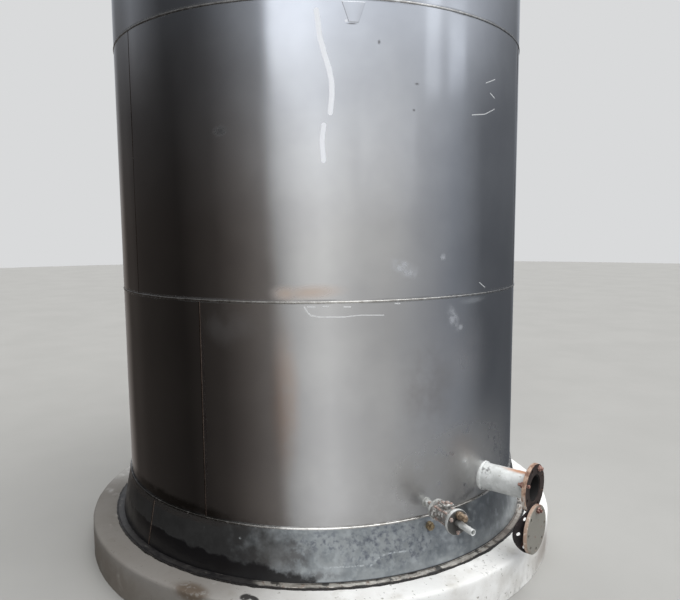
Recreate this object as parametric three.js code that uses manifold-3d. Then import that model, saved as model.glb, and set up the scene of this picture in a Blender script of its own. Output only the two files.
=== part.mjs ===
// Agitated stainless steel tank on a round concrete plinth.
// Units are millimetres, +Z is up, and the origin is on the tank's axis at the plinth's underside.
// +X runs along the large open nozzle. Azimuths are in degrees, turning from +X towards +Y.
import * as THREE from 'three';
import { mergeVertices } from 'three/addons/utils/BufferGeometryUtils.js';
import Module from 'manifold-3d';

const wasm = await Module();
wasm.setup();

// Driving dimensions of the vessel
const SHELL_R = 1095;
const SHELL_WALL = 5;
const COURSE_HEIGHT = 1220;
const COURSES = ['lower', 'middle', 'upper'];
const SHEETS = 3;
const SHEET_STEPS = 24;
const PLINTH_R = 1306;
const PLINTH_HEIGHT = 182;
const FLOOR_R = 1176;
const FLOOR_THICK = 8;
const BAND_TOP = 231;
const BAND_TOP_R = 1102.5;
const BAND_FOOT_R = 1145;
const GAP = 0.3;

// Azimuth of one vertical seam in each course
const SEAM_AZ = { lower: -78.3, middle: 17.7, upper: 71 };
const BAND_SEAM_AZ = -97;

// Large nozzle, which runs along +X beside the tank's axis, and the blind flange that hangs from it
const NOZZLE_Y = -60;
const NOZZLE_Z = PLINTH_HEIGHT + 324;
const NOZZLE_OUTER_R = 63;
const NOZZLE_BORE_R = 57;
const NOZZLE_FACE_X = 1350;
const NOZZLE_END_SETBACK = 5;
const FLANGE_R = 113;
const FLANGE_THICK = 20;
const FLANGE_PCD_R = 93;
const FLANGE_HOLES = 8;
const FLANGE_HOLE_R = 9.3;
const HANGING_HOLE = 5;
const BOLT_R = 8;
const NUT_R = 14;
const NUT_THICK = 13;
const GASKET_X = 1353;
const GASKET_THICK = 4;
const GASKET_CURL = 44;
const GASKET_FLAT = 26;
const BLIND_X = 1359;
const BLIND_THICK = 18;

// Small sample valve
const VALVE_AZ = -24.1;
const VALVE_Z = PLINTH_HEIGHT + 297;
const VALVE_PIPE_R = 16.8;
const VALVE_BORE_R = 13;
const VALVE_STUB_END = 1187;
const VALVE_FLANGE_R = 46;
const VALVE_FLANGE_THICK = 13;
const VALVE_BODY_END = 1311;
const VALVE_BALL_R = 37;
const OUTLET_DISC_R = 55;
const OUTLET_DISC_THICK = 15;
const OUTLET_PIPE_R = 13.45;
const OUTLET_BORE_R = 10.4;
const OUTLET_END = 1428;
const STEM_R = 13;
const STEM_TOP = 62;
const STEM_PAD = 46;
const SIDE_PLUG_Z = 36;
const SIDE_PLUG_R = 16;
const SIDE_PLUG_LENGTH = 55;
const DRAIN_AZ = -23.7;
const DRAIN_Z = PLINTH_HEIGHT + 190;
const DRAIN_R = 21;
const DRAIN_LENGTH = 32;

// Roof and what stands on it
const TOP_Z = PLINTH_HEIGHT + COURSES.length * COURSE_HEIGHT;
const ROOF_R = 1106;
const ROOF_THICK = 5;
const ROOF_RISE = 120;
const ROOF_HOLE_R = 160;
const ROOF_SEAT_R = 1088;
const ROOF_SIDES = 72;
const CURB_R = 1107;
const CURB_HEIGHT = 50;
const MANWAY_AZ = 98;
const MANWAY_AT = 650;
const MANWAY_R = 255;
const MANWAY_WALL = 6;
const MANWAY_TOP = TOP_Z + 220;
const MANWAY_FLANGE_R = 310;
const MANWAY_FLANGE_THICK = 14;
const MANWAY_LID_THICK = 12;
const VENT_AZ = -95;
const VENT_AT = 700;
const VENT_R = 30;
const VENT_BORE_R = 26;
const VENT_RISE = 330;
const VENT_BEND_R = 90;
const VENT_DROP = 60;
const LUG_AZ = [-90, 90];
const LUG_THICK = 16;
const LUG_WIDTH = 120;
const LUG_HEIGHT = 190;
const LUG_HOLE_R = 24;

// Bridge, drive, shaft and impeller
const BRIDGE_Y = 215;
const BRIDGE_HALF = 1065;
const BRIDGE_UNDER = TOP_Z + 160;
const BRIDGE_DEPTH = 140;
const BRIDGE_FLANGE = 60;
const BRIDGE_WEB = 8;
const BRIDGE_FOOT = 22;
const BASE_SIDE = 560;
const BASE_THICK = 20;
const BASE_Z = BRIDGE_UNDER + BRIDGE_DEPTH + GAP;
const LANTERN_Z = BASE_Z + BASE_THICK + GAP;
const LANTERN_HEIGHT = 300;
const LANTERN_R = 125;
const LANTERN_WALL = 14;
const LANTERN_FLANGE_R = 190;
const LANTERN_FLANGE_THICK = 20;
const GEARBOX_Z = LANTERN_Z + LANTERN_HEIGHT + GAP;
const GEARBOX_HEIGHT = 300;
const GEARBOX_R = 140;
const MOTOR_Z = GEARBOX_Z + GEARBOX_HEIGHT + GAP;
const MOTOR_HEIGHT = 300;
const MOTOR_R = 92;
const MOTOR_FINS = 24;
const MOTOR_FIN_R = 112;
const COWL_HEIGHT = 92;
const COWL_R = 116;
const SHAFT_R = 32;
const SHAFT_FOOT = PLINTH_HEIGHT + 380;
const COUPLING_Z = LANTERN_Z + 95;
const COUPLING_HEIGHT = 130;
const COUPLING_R = 68;
const BASE_HOLE_R = 70;
const NECK_WALL = 6;
const NECK_FOOT = 70;
const IMPELLER_Z = PLINTH_HEIGHT + 430;
const IMPELLER_R = 360;
const IMPELLER_HUB_R = 62;
const IMPELLER_HUB_HEIGHT = 130;
const IMPELLER_BLADES = 4;
const IMPELLER_BLADE = { width: 120, thick: 10, pitch: 45 };

const TURN = 2 * Math.PI;
const rad = THREE.MathUtils.degToRad;

// Materials
const finish = (color, roughness, metalness) => () =>
  new THREE.MeshStandardMaterial({ color, roughness, metalness });
const stainless = finish(0xb9bcc0, 0.34, 1);
const dirtyStainless = finish(0x6f7378, 0.55, 0.8);
const concrete = finish(0xcfccc4, 0.95, 0);
const silverPaint = finish(0xb8bcbc, 0.5, 0.4);
const rustySteel = finish(0x7a4a30, 0.85, 0.3);
const paintedSteel = finish(0x86888a, 0.6, 0.4);
const bronze = finish(0x8a6a48, 0.5, 0.8);
const brass = finish(0xb28a4a, 0.45, 0.9);
const rubber = finish(0x2a2224, 0.8, 0);
const driveBlue = finish(0x5c6a74, 0.5, 0.2);
const cowlBlack = finish(0x2c2f31, 0.6, 0.1);

const tank = new THREE.Group();

function addMesh(name, geometry, material, parent = tank) {
  const mesh = new THREE.Mesh(geometry, material());
  mesh.name = name;
  parent.add(mesh);
  return mesh;
}

// Closed geometry to a manifold solid and back
function toSolid(geometry) {
  const bare = geometry.clone();
  bare.deleteAttribute('normal');
  bare.deleteAttribute('uv');
  const merged = mergeVertices(bare, 1e-4);
  const vertProperties = new Float32Array(merged.attributes.position.array);
  const triVerts = new Uint32Array(merged.index.array);
  return new wasm.Manifold(new wasm.Mesh({ numProp: 3, vertProperties, triVerts }));
}

function toGeometry(solid) {
  const mesh = solid.getMesh();
  const geometry = new THREE.BufferGeometry();
  geometry.setAttribute('position', new THREE.BufferAttribute(mesh.vertProperties, 3));
  geometry.setIndex(new THREE.BufferAttribute(mesh.triVerts, 1));
  geometry.computeVertexNormals();
  return geometry;
}

const join = (...geometries) =>
  toGeometry(geometries.map(toSolid).reduce((whole, next) => whole.add(next)));
const cut = (geometry, ...tools) =>
  toGeometry(tools.map(toSolid).reduce((left, tool) => left.subtract(tool), toSolid(geometry)));

// Upright rod or disc from z0 to z1
function rod(radius, z0, z1, sides = 32) {
  const geometry = new THREE.CylinderGeometry(radius, radius, z1 - z0, sides);
  geometry.rotateX(Math.PI / 2);
  return geometry.translate(0, 0, (z0 + z1) / 2);
}

// Rod along +X from x0 to x1 at the given y and z
function rodX(radius, x0, x1, { y = 0, z = 0, sides = 24 } = {}) {
  const geometry = rod(radius, x0, x1, sides);
  geometry.rotateY(Math.PI / 2);
  return geometry.translate(0, y, z);
}

// Solid of revolution about Z from [radius, z] corners, given anticlockwise in the r-z plane
function turned(corners, sides = 48) {
  const points = [...corners, corners[0]].map(([r, z]) => new THREE.Vector2(r, z));
  const geometry = new THREE.LatheGeometry(points, sides);
  return geometry.rotateX(Math.PI / 2);
}

// Rectangular block between two corners
function block([x0, y0, z0], [x1, y1, z1]) {
  const geometry = new THREE.BoxGeometry(x1 - x0, y1 - y0, z1 - z0);
  return geometry.translate((x0 + x1) / 2, (y0 + y1) / 2, (z0 + z1) / 2);
}

// Flat outline on the XY plane raised from z0 to z1
function raised(shape, z0, z1) {
  const geometry = new THREE.ExtrudeGeometry(shape, { depth: z1 - z0, bevelEnabled: false });
  return geometry.translate(0, 0, z0);
}

function circlePath(x, y, radius, sides) {
  const points = Array.from({ length: sides }, (_, i) => {
    const a = (i * TURN) / sides;
    return new THREE.Vector2(x + radius * Math.cos(a), y + radius * Math.sin(a));
  });
  return points;
}

// Part of a ring between two azimuths
function ringSector(inner, outer, from, to, z0, z1, steps) {
  const arc = (radius) => Array.from({ length: steps + 1 }, (_, i) => {
    const a = rad(from + ((to - from) * i) / steps);
    return new THREE.Vector2(radius * Math.cos(a), radius * Math.sin(a));
  });
  return raised(new THREE.Shape([...arc(outer), ...arc(inner).reverse()]), z0, z1);
}

// Round plate with its axis along +X and a ring of bolt holes; boreR 0 leaves it blind
function boltedDisc(x0, thick, boreR) {
  const shape = new THREE.Shape(circlePath(0, 0, FLANGE_R, 48));
  for (let i = 0; i < FLANGE_HOLES; i += 1) {
    const [y, z] = holeAt(i);
    shape.holes.push(new THREE.Path(circlePath(y, z, FLANGE_HOLE_R, 12)));
  }
  if (boreR > 0) shape.holes.push(new THREE.Path(circlePath(0, 0, boreR, 32)));
  return standUp(raised(shape, 0, thick)).translate(x0, 0, 0);
}

// Holes straddle the centre lines
function holeAt(index) {
  const a = ((index + 0.5) * TURN) / FLANGE_HOLES;
  return [FLANGE_PCD_R * Math.cos(a), FLANGE_PCD_R * Math.sin(a)];
}

// Turn a shape drawn in XY so that its x is +Y, its y is +Z and its depth is +X
function standUp(geometry) {
  const basis = new THREE.Matrix4().makeBasis(
    new THREE.Vector3(0, 1, 0), new THREE.Vector3(0, 0, 1), new THREE.Vector3(1, 0, 0));
  return geometry.applyMatrix4(basis);
}

const turnedTo = (geometry, azimuth) => geometry.rotateZ(rad(azimuth));

// Plinth, floor plate and flared base band
function buildBase() {
  addMesh('concrete_plinth', rod(PLINTH_R, 0, PLINTH_HEIGHT, 96), concrete);
  const floorZ = PLINTH_HEIGHT + GAP;
  addMesh('floor_plate', rod(FLOOR_R, floorZ, floorZ + FLOOR_THICK, 96), dirtyStainless);

  const foot = floorZ + FLOOR_THICK + GAP;
  const top = PLINTH_HEIGHT + BAND_TOP;
  for (let i = 0; i < SHEETS; i += 1) {
    const from = BAND_SEAM_AZ + (i * 360) / SHEETS + gapAngle();
    const to = BAND_SEAM_AZ + ((i + 1) * 360) / SHEETS;
    const inner = outside(SHELL_R + GAP, SHEETS * SHEET_STEPS);
    const band = ringSector(inner, BAND_TOP_R, from, to, foot, top, SHEET_STEPS);
    flare(band, foot, top, BAND_FOOT_R - BAND_TOP_R);
    addMesh(`base_band_${i + 1}`, band, dirtyStainless);
  }
}

// Angle that leaves the usual gap at the shell's radius
const gapAngle = () => THREE.MathUtils.radToDeg(GAP / SHELL_R);

// Push a ring's wall outwards towards its foot
function flare(geometry, z0, z1, growth) {
  const position = geometry.attributes.position;
  for (let i = 0; i < position.count; i += 1) {
    const x = position.getX(i);
    const y = position.getY(i);
    const share = (z1 - position.getZ(i)) / (z1 - z0);
    const scale = (Math.hypot(x, y) + growth * share) / Math.hypot(x, y);
    position.setXY(i, x * scale, y * scale);
  }
}

// Corner radius of a many-sided ring whose flats stay outside a radius
const outside = (radius, sides) => radius / Math.cos(Math.PI / sides);

// Three courses of rolled sheets
function buildShell() {
  const inner = SHELL_R - SHELL_WALL;
  COURSES.forEach((course, level) => {
    const foot = level === 0 ? PLINTH_HEIGHT + FLOOR_THICK + 2 * GAP
      : PLINTH_HEIGHT + level * COURSE_HEIGHT + GAP;
    const top = PLINTH_HEIGHT + (level + 1) * COURSE_HEIGHT;
    for (let i = 0; i < SHEETS; i += 1) {
      const from = SEAM_AZ[course] + (i * 360) / SHEETS + gapAngle();
      const to = SEAM_AZ[course] + ((i + 1) * 360) / SHEETS;
      const sheet = ringSector(inner, SHELL_R, from, to, foot, top, SHEET_STEPS);
      const pierced = level === 0 && i === 0;
      addMesh(`${course}_course_sheet_${i + 1}`, pierced ? pierce(sheet) : sheet, stainless);
    }
  });
}

// Holes for the nozzle and for the valve's pipe
function pierce(sheet) {
  const nozzleHole = rodX(NOZZLE_OUTER_R + GAP, SHELL_R - 60, SHELL_R + 60, { y: NOZZLE_Y, z: NOZZLE_Z, sides: 40 });
  const valveHole = rodX(VALVE_PIPE_R + GAP, SHELL_R - 60, SHELL_R + 60, { z: VALVE_Z, sides: 20 });
  return cut(sheet, nozzleHole, turnedTo(valveHole, VALVE_AZ));
}

// Open nozzle with its flange, and the parts that hang from its lower bolt
function buildNozzle() {
  const pipe = cut(
    rodX(NOZZLE_OUTER_R, SHELL_R - SHELL_WALL - 12, NOZZLE_FACE_X - NOZZLE_END_SETBACK, { sides: 40 }),
    rodX(NOZZLE_BORE_R, SHELL_R - 90, NOZZLE_FACE_X + 20, { sides: 40 }));
  addMesh('nozzle_pipe', pipe, silverPaint).position.set(0, NOZZLE_Y, NOZZLE_Z);

  const flange = boltedDisc(NOZZLE_FACE_X - FLANGE_THICK, FLANGE_THICK, NOZZLE_OUTER_R + GAP);
  addMesh('nozzle_flange', flange, rustySteel).position.set(0, NOZZLE_Y, NOZZLE_Z);

  const [holeY, boltZ] = holeAt(HANGING_HOLE);
  const boltY = NOZZLE_Y + holeY;
  const backNutX = NOZZLE_FACE_X - FLANGE_THICK - GAP - NUT_THICK;
  const frontNutX = BLIND_X + BLIND_THICK + 2;
  const bolt = join(
    rodX(BOLT_R, backNutX - 8, frontNutX + NUT_THICK + 8, { sides: 12 }),
    rodX(NUT_R, backNutX, backNutX + NUT_THICK, { sides: 6 }),
    rodX(NUT_R, frontNutX, frontNutX + NUT_THICK, { sides: 6 }));
  addMesh('hanging_bolt', bolt, rustySteel).position.set(0, boltY, NOZZLE_Z + boltZ);

  // Each disc hangs with the top of one hole on the bolt's shank
  const slack = FLANGE_HOLE_R - BOLT_R - GAP;
  const hangZ = NOZZLE_Z + boltZ - slack - FLANGE_PCD_R;
  const topHoleTurn = -TURN / FLANGE_HOLES / 2;

  addMesh('loose_gasket', curledGasket(topHoleTurn), rubber).position.set(0, boltY, hangZ);

  const blind = boltedDisc(BLIND_X, BLIND_THICK, 0).rotateX(topHoleTurn);
  addMesh('hanging_blind_flange', blind, rustySteel).position.set(0, boltY, hangZ);
}

// Solid rubber disc whose free edge bends back towards the tank
function curledGasket(turn) {
  const steps = 14;
  const side = (offset) => Array.from({ length: steps + 1 }, (_, i) => {
    const y = FLANGE_R + 2 - (i * (2 * FLANGE_R + 4)) / steps;
    const past = Math.max(0, -y - GASKET_FLAT) / (FLANGE_R - GASKET_FLAT);
    return new THREE.Vector2(GASKET_X + offset - GASKET_CURL * past ** 2, y);
  });
  const strip = new THREE.Shape([...side(GASKET_THICK), ...side(0).reverse()]);
  const sheet = toSolid(raised(strip, -FLANGE_R - 2, FLANGE_R + 2));
  const from = GASKET_X - 2 * GASKET_CURL;
  const to = GASKET_X + 2 * GASKET_THICK;
  const disc = sheet.intersect(toSolid(rodX(FLANGE_R, from, to, { sides: 48 })));
  const holes = Array.from({ length: FLANGE_HOLES }, (_, i) => {
    const [y, z] = holeAt(i);
    return rodX(FLANGE_HOLE_R, from - 5, to + 5, { y, z, sides: 12 }).rotateX(turn);
  });
  return cut(toGeometry(disc), ...holes);
}

// Small flanged ball valve with a short open outlet
function buildValve() {
  const valve = new THREE.Group();
  valve.rotation.z = rad(VALVE_AZ);
  valve.position.z = VALVE_Z;
  tank.add(valve);

  const stub = join(
    rodX(VALVE_PIPE_R, SHELL_R - SHELL_WALL - 6, VALVE_STUB_END - 2, { sides: 20 }),
    rodX(VALVE_FLANGE_R, VALVE_STUB_END - VALVE_FLANGE_THICK, VALVE_STUB_END, { sides: 32 }));
  const stubBore = rodX(VALVE_BORE_R, SHELL_R - 60, VALVE_STUB_END + 20, { sides: 16 });
  addMesh('valve_inlet_stub', cut(stub, stubBore), silverPaint, valve);

  const start = VALVE_STUB_END + GAP;
  const end = VALVE_BODY_END;
  const ballX = (start + end) / 2;
  const body = standAlongX(turned([
    [0, start], [VALVE_FLANGE_R, start], [VALVE_FLANGE_R, start + VALVE_FLANGE_THICK],
    [24, start + VALVE_FLANGE_THICK + 3], [26, ballX - 32], [VALVE_BALL_R, ballX - 18],
    [VALVE_BALL_R, ballX + 18], [26, ballX + 32], [24, end - VALVE_FLANGE_THICK - 3],
    [OUTLET_DISC_R - 4, end - VALVE_FLANGE_THICK], [OUTLET_DISC_R - 4, end], [0, end],
  ], 24));
  const stem = rod(STEM_R, 20, STEM_TOP, 16).translate(ballX, 0, 0);
  const half = STEM_PAD / 2;
  const pad = block([ballX - half, -half, STEM_TOP - 16], [ballX + half, half, STEM_TOP - 8]);
  addMesh('valve_body', join(body, stem, pad), paintedSteel, valve);

  const discX = end + GAP;
  const discFace = discX + OUTLET_DISC_THICK;
  const disc = cut(
    rodX(OUTLET_DISC_R, discX, discFace, { sides: 40 }),
    rodX(OUTLET_PIPE_R + GAP, discX - 10, discFace + 10, { sides: 20 }));
  addMesh('valve_outlet_flange', disc, silverPaint, valve);

  const outlet = cut(
    rodX(OUTLET_PIPE_R, discX + 2, OUTLET_END, { sides: 20 }),
    rodX(OUTLET_BORE_R, discX - 10, OUTLET_END + 10, { sides: 20 }));
  addMesh('valve_outlet_pipe', outlet, silverPaint, valve);

  const sidePlug = rodX(SIDE_PLUG_R, discFace + GAP, discFace + SIDE_PLUG_LENGTH,
    { z: SIDE_PLUG_Z, sides: 6 });
  addMesh('valve_side_plug', sidePlug, bronze, valve);

  // The plug's lower edge rests on the flared band
  const below = (BAND_TOP - (DRAIN_Z - DRAIN_R - PLINTH_HEIGHT)) / BAND_TOP;
  const flatShare = Math.cos(Math.PI / (SHEETS * SHEET_STEPS));
  const seatX = (BAND_TOP_R + (BAND_FOOT_R - BAND_TOP_R) * below) * flatShare + 2 * GAP;
  const drain = rodX(DRAIN_R, seatX, seatX + DRAIN_LENGTH, { z: DRAIN_Z, sides: 6 });
  addMesh('drain_plug', turnedTo(drain, DRAIN_AZ), brass);
}

// A solid turned about Z laid along +X
function standAlongX(geometry) {
  return geometry.rotateY(Math.PI / 2);
}

// Curb ring, cone roof, manway, vent and lifting lugs
function buildRoof() {
  const curbInner = outside(SHELL_R + GAP, ROOF_SIDES);
  const curb = turned([
    [curbInner, TOP_Z - CURB_HEIGHT], [CURB_R, TOP_Z - CURB_HEIGHT],
    [CURB_R, TOP_Z], [curbInner, TOP_Z],
  ], ROOF_SIDES);
  addMesh('top_curb_ring', curb, stainless);

  const eave = TOP_Z + GAP;
  const cone = turned([
    [ROOF_SEAT_R, eave], [ROOF_R, eave], [ROOF_R, eave + ROOF_THICK],
    [ROOF_HOLE_R, eave + ROOF_THICK + ROOF_RISE], [ROOF_HOLE_R, eave + ROOF_RISE],
  ], ROOF_SIDES);
  const [manwayX, manwayY] = around(MANWAY_AT, MANWAY_AZ);
  const [ventX, ventY] = around(VENT_AT, VENT_AZ);
  const manwayHole = rod(MANWAY_R + GAP, TOP_Z - 50, TOP_Z + 300, 48).translate(manwayX, manwayY, 0);
  const ventHole = rod(VENT_R + 2 * GAP, TOP_Z - 50, TOP_Z + 300, 48).translate(ventX, ventY, 0);
  addMesh('roof_cone', cut(cone, manwayHole, ventHole), stainless);

  const neckFoot = TOP_Z + 20;
  const neck = turned([
    [MANWAY_R - MANWAY_WALL, neckFoot], [MANWAY_R, neckFoot],
    [MANWAY_R, MANWAY_TOP - MANWAY_FLANGE_THICK], [MANWAY_FLANGE_R, MANWAY_TOP - MANWAY_FLANGE_THICK],
    [MANWAY_FLANGE_R, MANWAY_TOP], [MANWAY_R - MANWAY_WALL, MANWAY_TOP],
  ]);
  addMesh('manway_neck', neck, stainless).position.set(manwayX, manwayY, 0);
  const lidFoot = MANWAY_TOP + GAP;
  const lid = rod(MANWAY_FLANGE_R, lidFoot, lidFoot + MANWAY_LID_THICK, 48);
  addMesh('manway_lid', lid, stainless).position.set(manwayX, manwayY, 0);

  addMesh('roof_vent', ventPipe(), stainless).position.set(ventX, ventY, 0);
  LUG_AZ.forEach((azimuth, i) => {
    addMesh(`lifting_lug_${i + 1}`, liftingLug(), stainless).rotation.z = rad(azimuth);
  });
}

const around = (radius, azimuth) => [radius * Math.cos(rad(azimuth)), radius * Math.sin(rad(azimuth))];

// Upright pipe that turns over and opens downwards
function ventPipe() {
  const foot = TOP_Z + 15;
  const top = TOP_Z + VENT_RISE;
  const uprights = 5;
  const rise = Array.from({ length: uprights }, (_, i) =>
    new THREE.Vector3(0, 0, foot + ((top - foot) * i) / uprights));
  const bends = 12;
  const bend = Array.from({ length: bends + 1 }, (_, i) => {
    const a = (i * Math.PI) / bends;
    return new THREE.Vector3(0, -VENT_BEND_R * (1 - Math.cos(a)), top + VENT_BEND_R * Math.sin(a));
  });
  const mouth = bend[bends].clone().add(new THREE.Vector3(0, 0, -VENT_DROP));
  const spine = new THREE.CatmullRomCurve3([...rise, ...bend, mouth]);
  const tube = new THREE.Shape(circlePath(0, 0, VENT_R, 12));
  tube.holes.push(new THREE.Path(circlePath(0, 0, VENT_BORE_R, 12)));
  return new THREE.ExtrudeGeometry(tube, { steps: 20, extrudePath: spine, bevelEnabled: false });
}

// Plate with a round top and a shackle hole, standing radially on the shell's side
function liftingLug() {
  const shape = new THREE.Shape();
  const half = LUG_HEIGHT / 2;
  const eye = LUG_WIDTH / 2;
  shape.moveTo(0, -half);
  shape.lineTo(eye, -half + eye);
  shape.lineTo(LUG_WIDTH, half - eye);
  shape.absarc(eye, half - eye, eye, 0, Math.PI, false);
  shape.lineTo(0, -half);
  shape.holes.push(new THREE.Path(circlePath(eye, half - eye, LUG_HOLE_R, 16)));
  const plate = new THREE.ExtrudeGeometry(shape, { depth: LUG_THICK, bevelEnabled: false, curveSegments: 12 });
  plate.rotateX(Math.PI / 2);
  return plate.translate(CURB_R + GAP, LUG_THICK / 2, TOP_Z - CURB_HEIGHT - 10);
}

// Two channels on feet, the drive's base plate and the neck under it
function buildBridge() {
  [1, -1].forEach((side, i) => {
    const webY = side * BRIDGE_Y;
    const outY = side * (BRIDGE_Y + BRIDGE_FLANGE);
    const [y0, y1] = [Math.min(webY, outY), Math.max(webY, outY)];
    const top = BRIDGE_UNDER + BRIDGE_DEPTH;
    const web = side > 0 ? [y0, y0 + BRIDGE_WEB] : [y1 - BRIDGE_WEB, y1];
    const beam = join(
      block([-BRIDGE_HALF, web[0], BRIDGE_UNDER], [BRIDGE_HALF, web[1], top]),
      block([-BRIDGE_HALF, y0, BRIDGE_UNDER], [BRIDGE_HALF, y1, BRIDGE_UNDER + BRIDGE_WEB]),
      block([-BRIDGE_HALF, y0, top - BRIDGE_WEB], [BRIDGE_HALF, y1, top]),
      ...[-1, 1].map((end) => bridgeFoot(end, y0, y1)));
    addMesh(`bridge_beam_${i + 1}`, beam, paintedSteel);
  });

  const half = BASE_SIDE / 2;
  const plate = cut(
    block([-half, -half, BASE_Z], [half, half, BASE_Z + BASE_THICK]),
    rod(BASE_HOLE_R, BASE_Z - 10, BASE_Z + BASE_THICK + 10));
  addMesh('drive_base_plate', plate, paintedSteel);

  const neckOuter = ROOF_HOLE_R - GAP;
  const neckFoot = TOP_Z + NECK_FOOT;
  const neck = turned([
    [neckOuter - NECK_WALL, neckFoot], [neckOuter, neckFoot],
    [neckOuter, BASE_Z - GAP], [neckOuter - NECK_WALL, BASE_Z - GAP],
  ]);
  addMesh('drive_neck', neck, stainless);
}

// Post from a beam's end down to the roof plate over the shell's rim
function bridgeFoot(end, y0, y1) {
  const outer = Math.sqrt(ROOF_R ** 2 - (BRIDGE_Y + BRIDGE_FLANGE) ** 2) - 8;
  const inner = outer - BRIDGE_FOOT;
  const slope = ROOF_RISE / (ROOF_SEAT_R - ROOF_HOLE_R);
  const rise = slope * (ROOF_R - Math.hypot(inner, BRIDGE_Y));
  const foot = TOP_Z + GAP + ROOF_THICK + rise + GAP;
  const [x0, x1] = end > 0 ? [inner, outer] : [-outer, -inner];
  return block([x0, y0, foot], [x1, y1, BRIDGE_UNDER + 1]);
}

// Lantern, gearbox, motor, shaft and impeller
function buildDrive() {
  const top = LANTERN_Z + LANTERN_HEIGHT;
  const inner = LANTERN_R - LANTERN_WALL;
  const shellOfLantern = turned([
    [inner, LANTERN_Z], [LANTERN_FLANGE_R, LANTERN_Z],
    [LANTERN_FLANGE_R, LANTERN_Z + LANTERN_FLANGE_THICK], [LANTERN_R, LANTERN_Z + LANTERN_FLANGE_THICK],
    [LANTERN_R, top - LANTERN_FLANGE_THICK], [LANTERN_FLANGE_R - 30, top - LANTERN_FLANGE_THICK],
    [LANTERN_FLANGE_R - 30, top], [inner, top],
  ], 32);
  const window = block([-80, -300, LANTERN_Z + 60], [80, 300, top - 60]);
  addMesh('drive_lantern', cut(shellOfLantern, window), driveBlue);

  addMesh('shaft_coupling', rod(COUPLING_R, COUPLING_Z, COUPLING_Z + COUPLING_HEIGHT), paintedSteel);
  addMesh('agitator_shaft', rod(SHAFT_R, SHAFT_FOOT, COUPLING_Z - GAP, 24), stainless);

  const stubTop = GEARBOX_Z + 1;
  const outputStub = rod(SHAFT_R, COUPLING_Z + COUPLING_HEIGHT + GAP, stubTop, 24);
  const gearbox = join(
    rod(LANTERN_FLANGE_R - 30, GEARBOX_Z, GEARBOX_Z + 22),
    rod(GEARBOX_R, GEARBOX_Z + 20, GEARBOX_Z + GEARBOX_HEIGHT - 20),
    block([-90, -GEARBOX_R - 34, GEARBOX_Z + 70], [90, 0, GEARBOX_Z + GEARBOX_HEIGHT - 60]),
    rod(LANTERN_FLANGE_R - 40, GEARBOX_Z + GEARBOX_HEIGHT - 22, GEARBOX_Z + GEARBOX_HEIGHT),
    outputStub);
  addMesh('gearbox', gearbox, driveBlue);

  addMesh('motor', motorGeometry(), driveBlue);
  const cowlZ = MOTOR_Z + MOTOR_HEIGHT + GAP;
  addMesh('motor_fan_cowl', rod(COWL_R, cowlZ, cowlZ + COWL_HEIGHT), cowlBlack);
  const boxZ = MOTOR_Z + 70;
  addMesh('motor_terminal_box',
    block([MOTOR_FIN_R + GAP, -58, boxZ], [MOTOR_FIN_R + 75, 58, boxZ + 120]), driveBlue);

  addMesh('impeller', impellerGeometry(), stainless);
}

// Motor frame with upright cooling fins and an end flange
function motorGeometry() {
  const points = [];
  for (let i = 0; i < MOTOR_FINS; i += 1) {
    const at = (share, radius) => {
      const a = ((i + share) * TURN) / MOTOR_FINS;
      points.push(new THREE.Vector2(radius * Math.cos(a), radius * Math.sin(a)));
    };
    at(-0.13, MOTOR_FIN_R);
    at(0.13, MOTOR_FIN_R);
    at(0.22, MOTOR_R);
    at(0.78, MOTOR_R);
  }
  const frame = raised(new THREE.Shape(points), MOTOR_Z + 10, MOTOR_Z + MOTOR_HEIGHT);
  return join(rod(LANTERN_FLANGE_R - 40, MOTOR_Z, MOTOR_Z + 18), frame);
}

// Hub on the shaft with pitched blades
function impellerGeometry() {
  const hub = rod(IMPELLER_HUB_R, IMPELLER_Z, IMPELLER_Z + IMPELLER_HUB_HEIGHT, 32);
  const middle = IMPELLER_Z + IMPELLER_HUB_HEIGHT / 2;
  const blades = Array.from({ length: IMPELLER_BLADES }, (_, i) => {
    const { width, thick, pitch } = IMPELLER_BLADE;
    const blade = new THREE.BoxGeometry(IMPELLER_R - IMPELLER_HUB_R + 15, thick, width);
    blade.rotateX(rad(pitch));
    blade.translate((IMPELLER_R + IMPELLER_HUB_R - 15) / 2, 0, middle);
    return blade.rotateZ((i * TURN) / IMPELLER_BLADES + rad(30));
  });
  return cut(join(hub, ...blades), rod(SHAFT_R + GAP, IMPELLER_Z - 50, IMPELLER_Z + 300, 24));
}

buildBase();
buildShell();
buildNozzle();
buildValve();
buildRoof();
buildBridge();
buildDrive();

export default tank;
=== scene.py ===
"""Agitated stainless steel tank on a round concrete plinth: its finishes, fine shapes and studio.

Lengths are in metres in the tank's own frame. The tank's axis is Z, the ground is at zero and the
large nozzle points along +X. Azimuths are in degrees, turning from +X towards +Y.
"""

import logging
import math
from collections.abc import Callable, Iterable, Iterator
from contextlib import contextmanager
from dataclasses import dataclass, field, replace
from enum import Enum
from typing import Any

import bmesh
import bpy
from mathutils import Matrix, Vector


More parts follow.
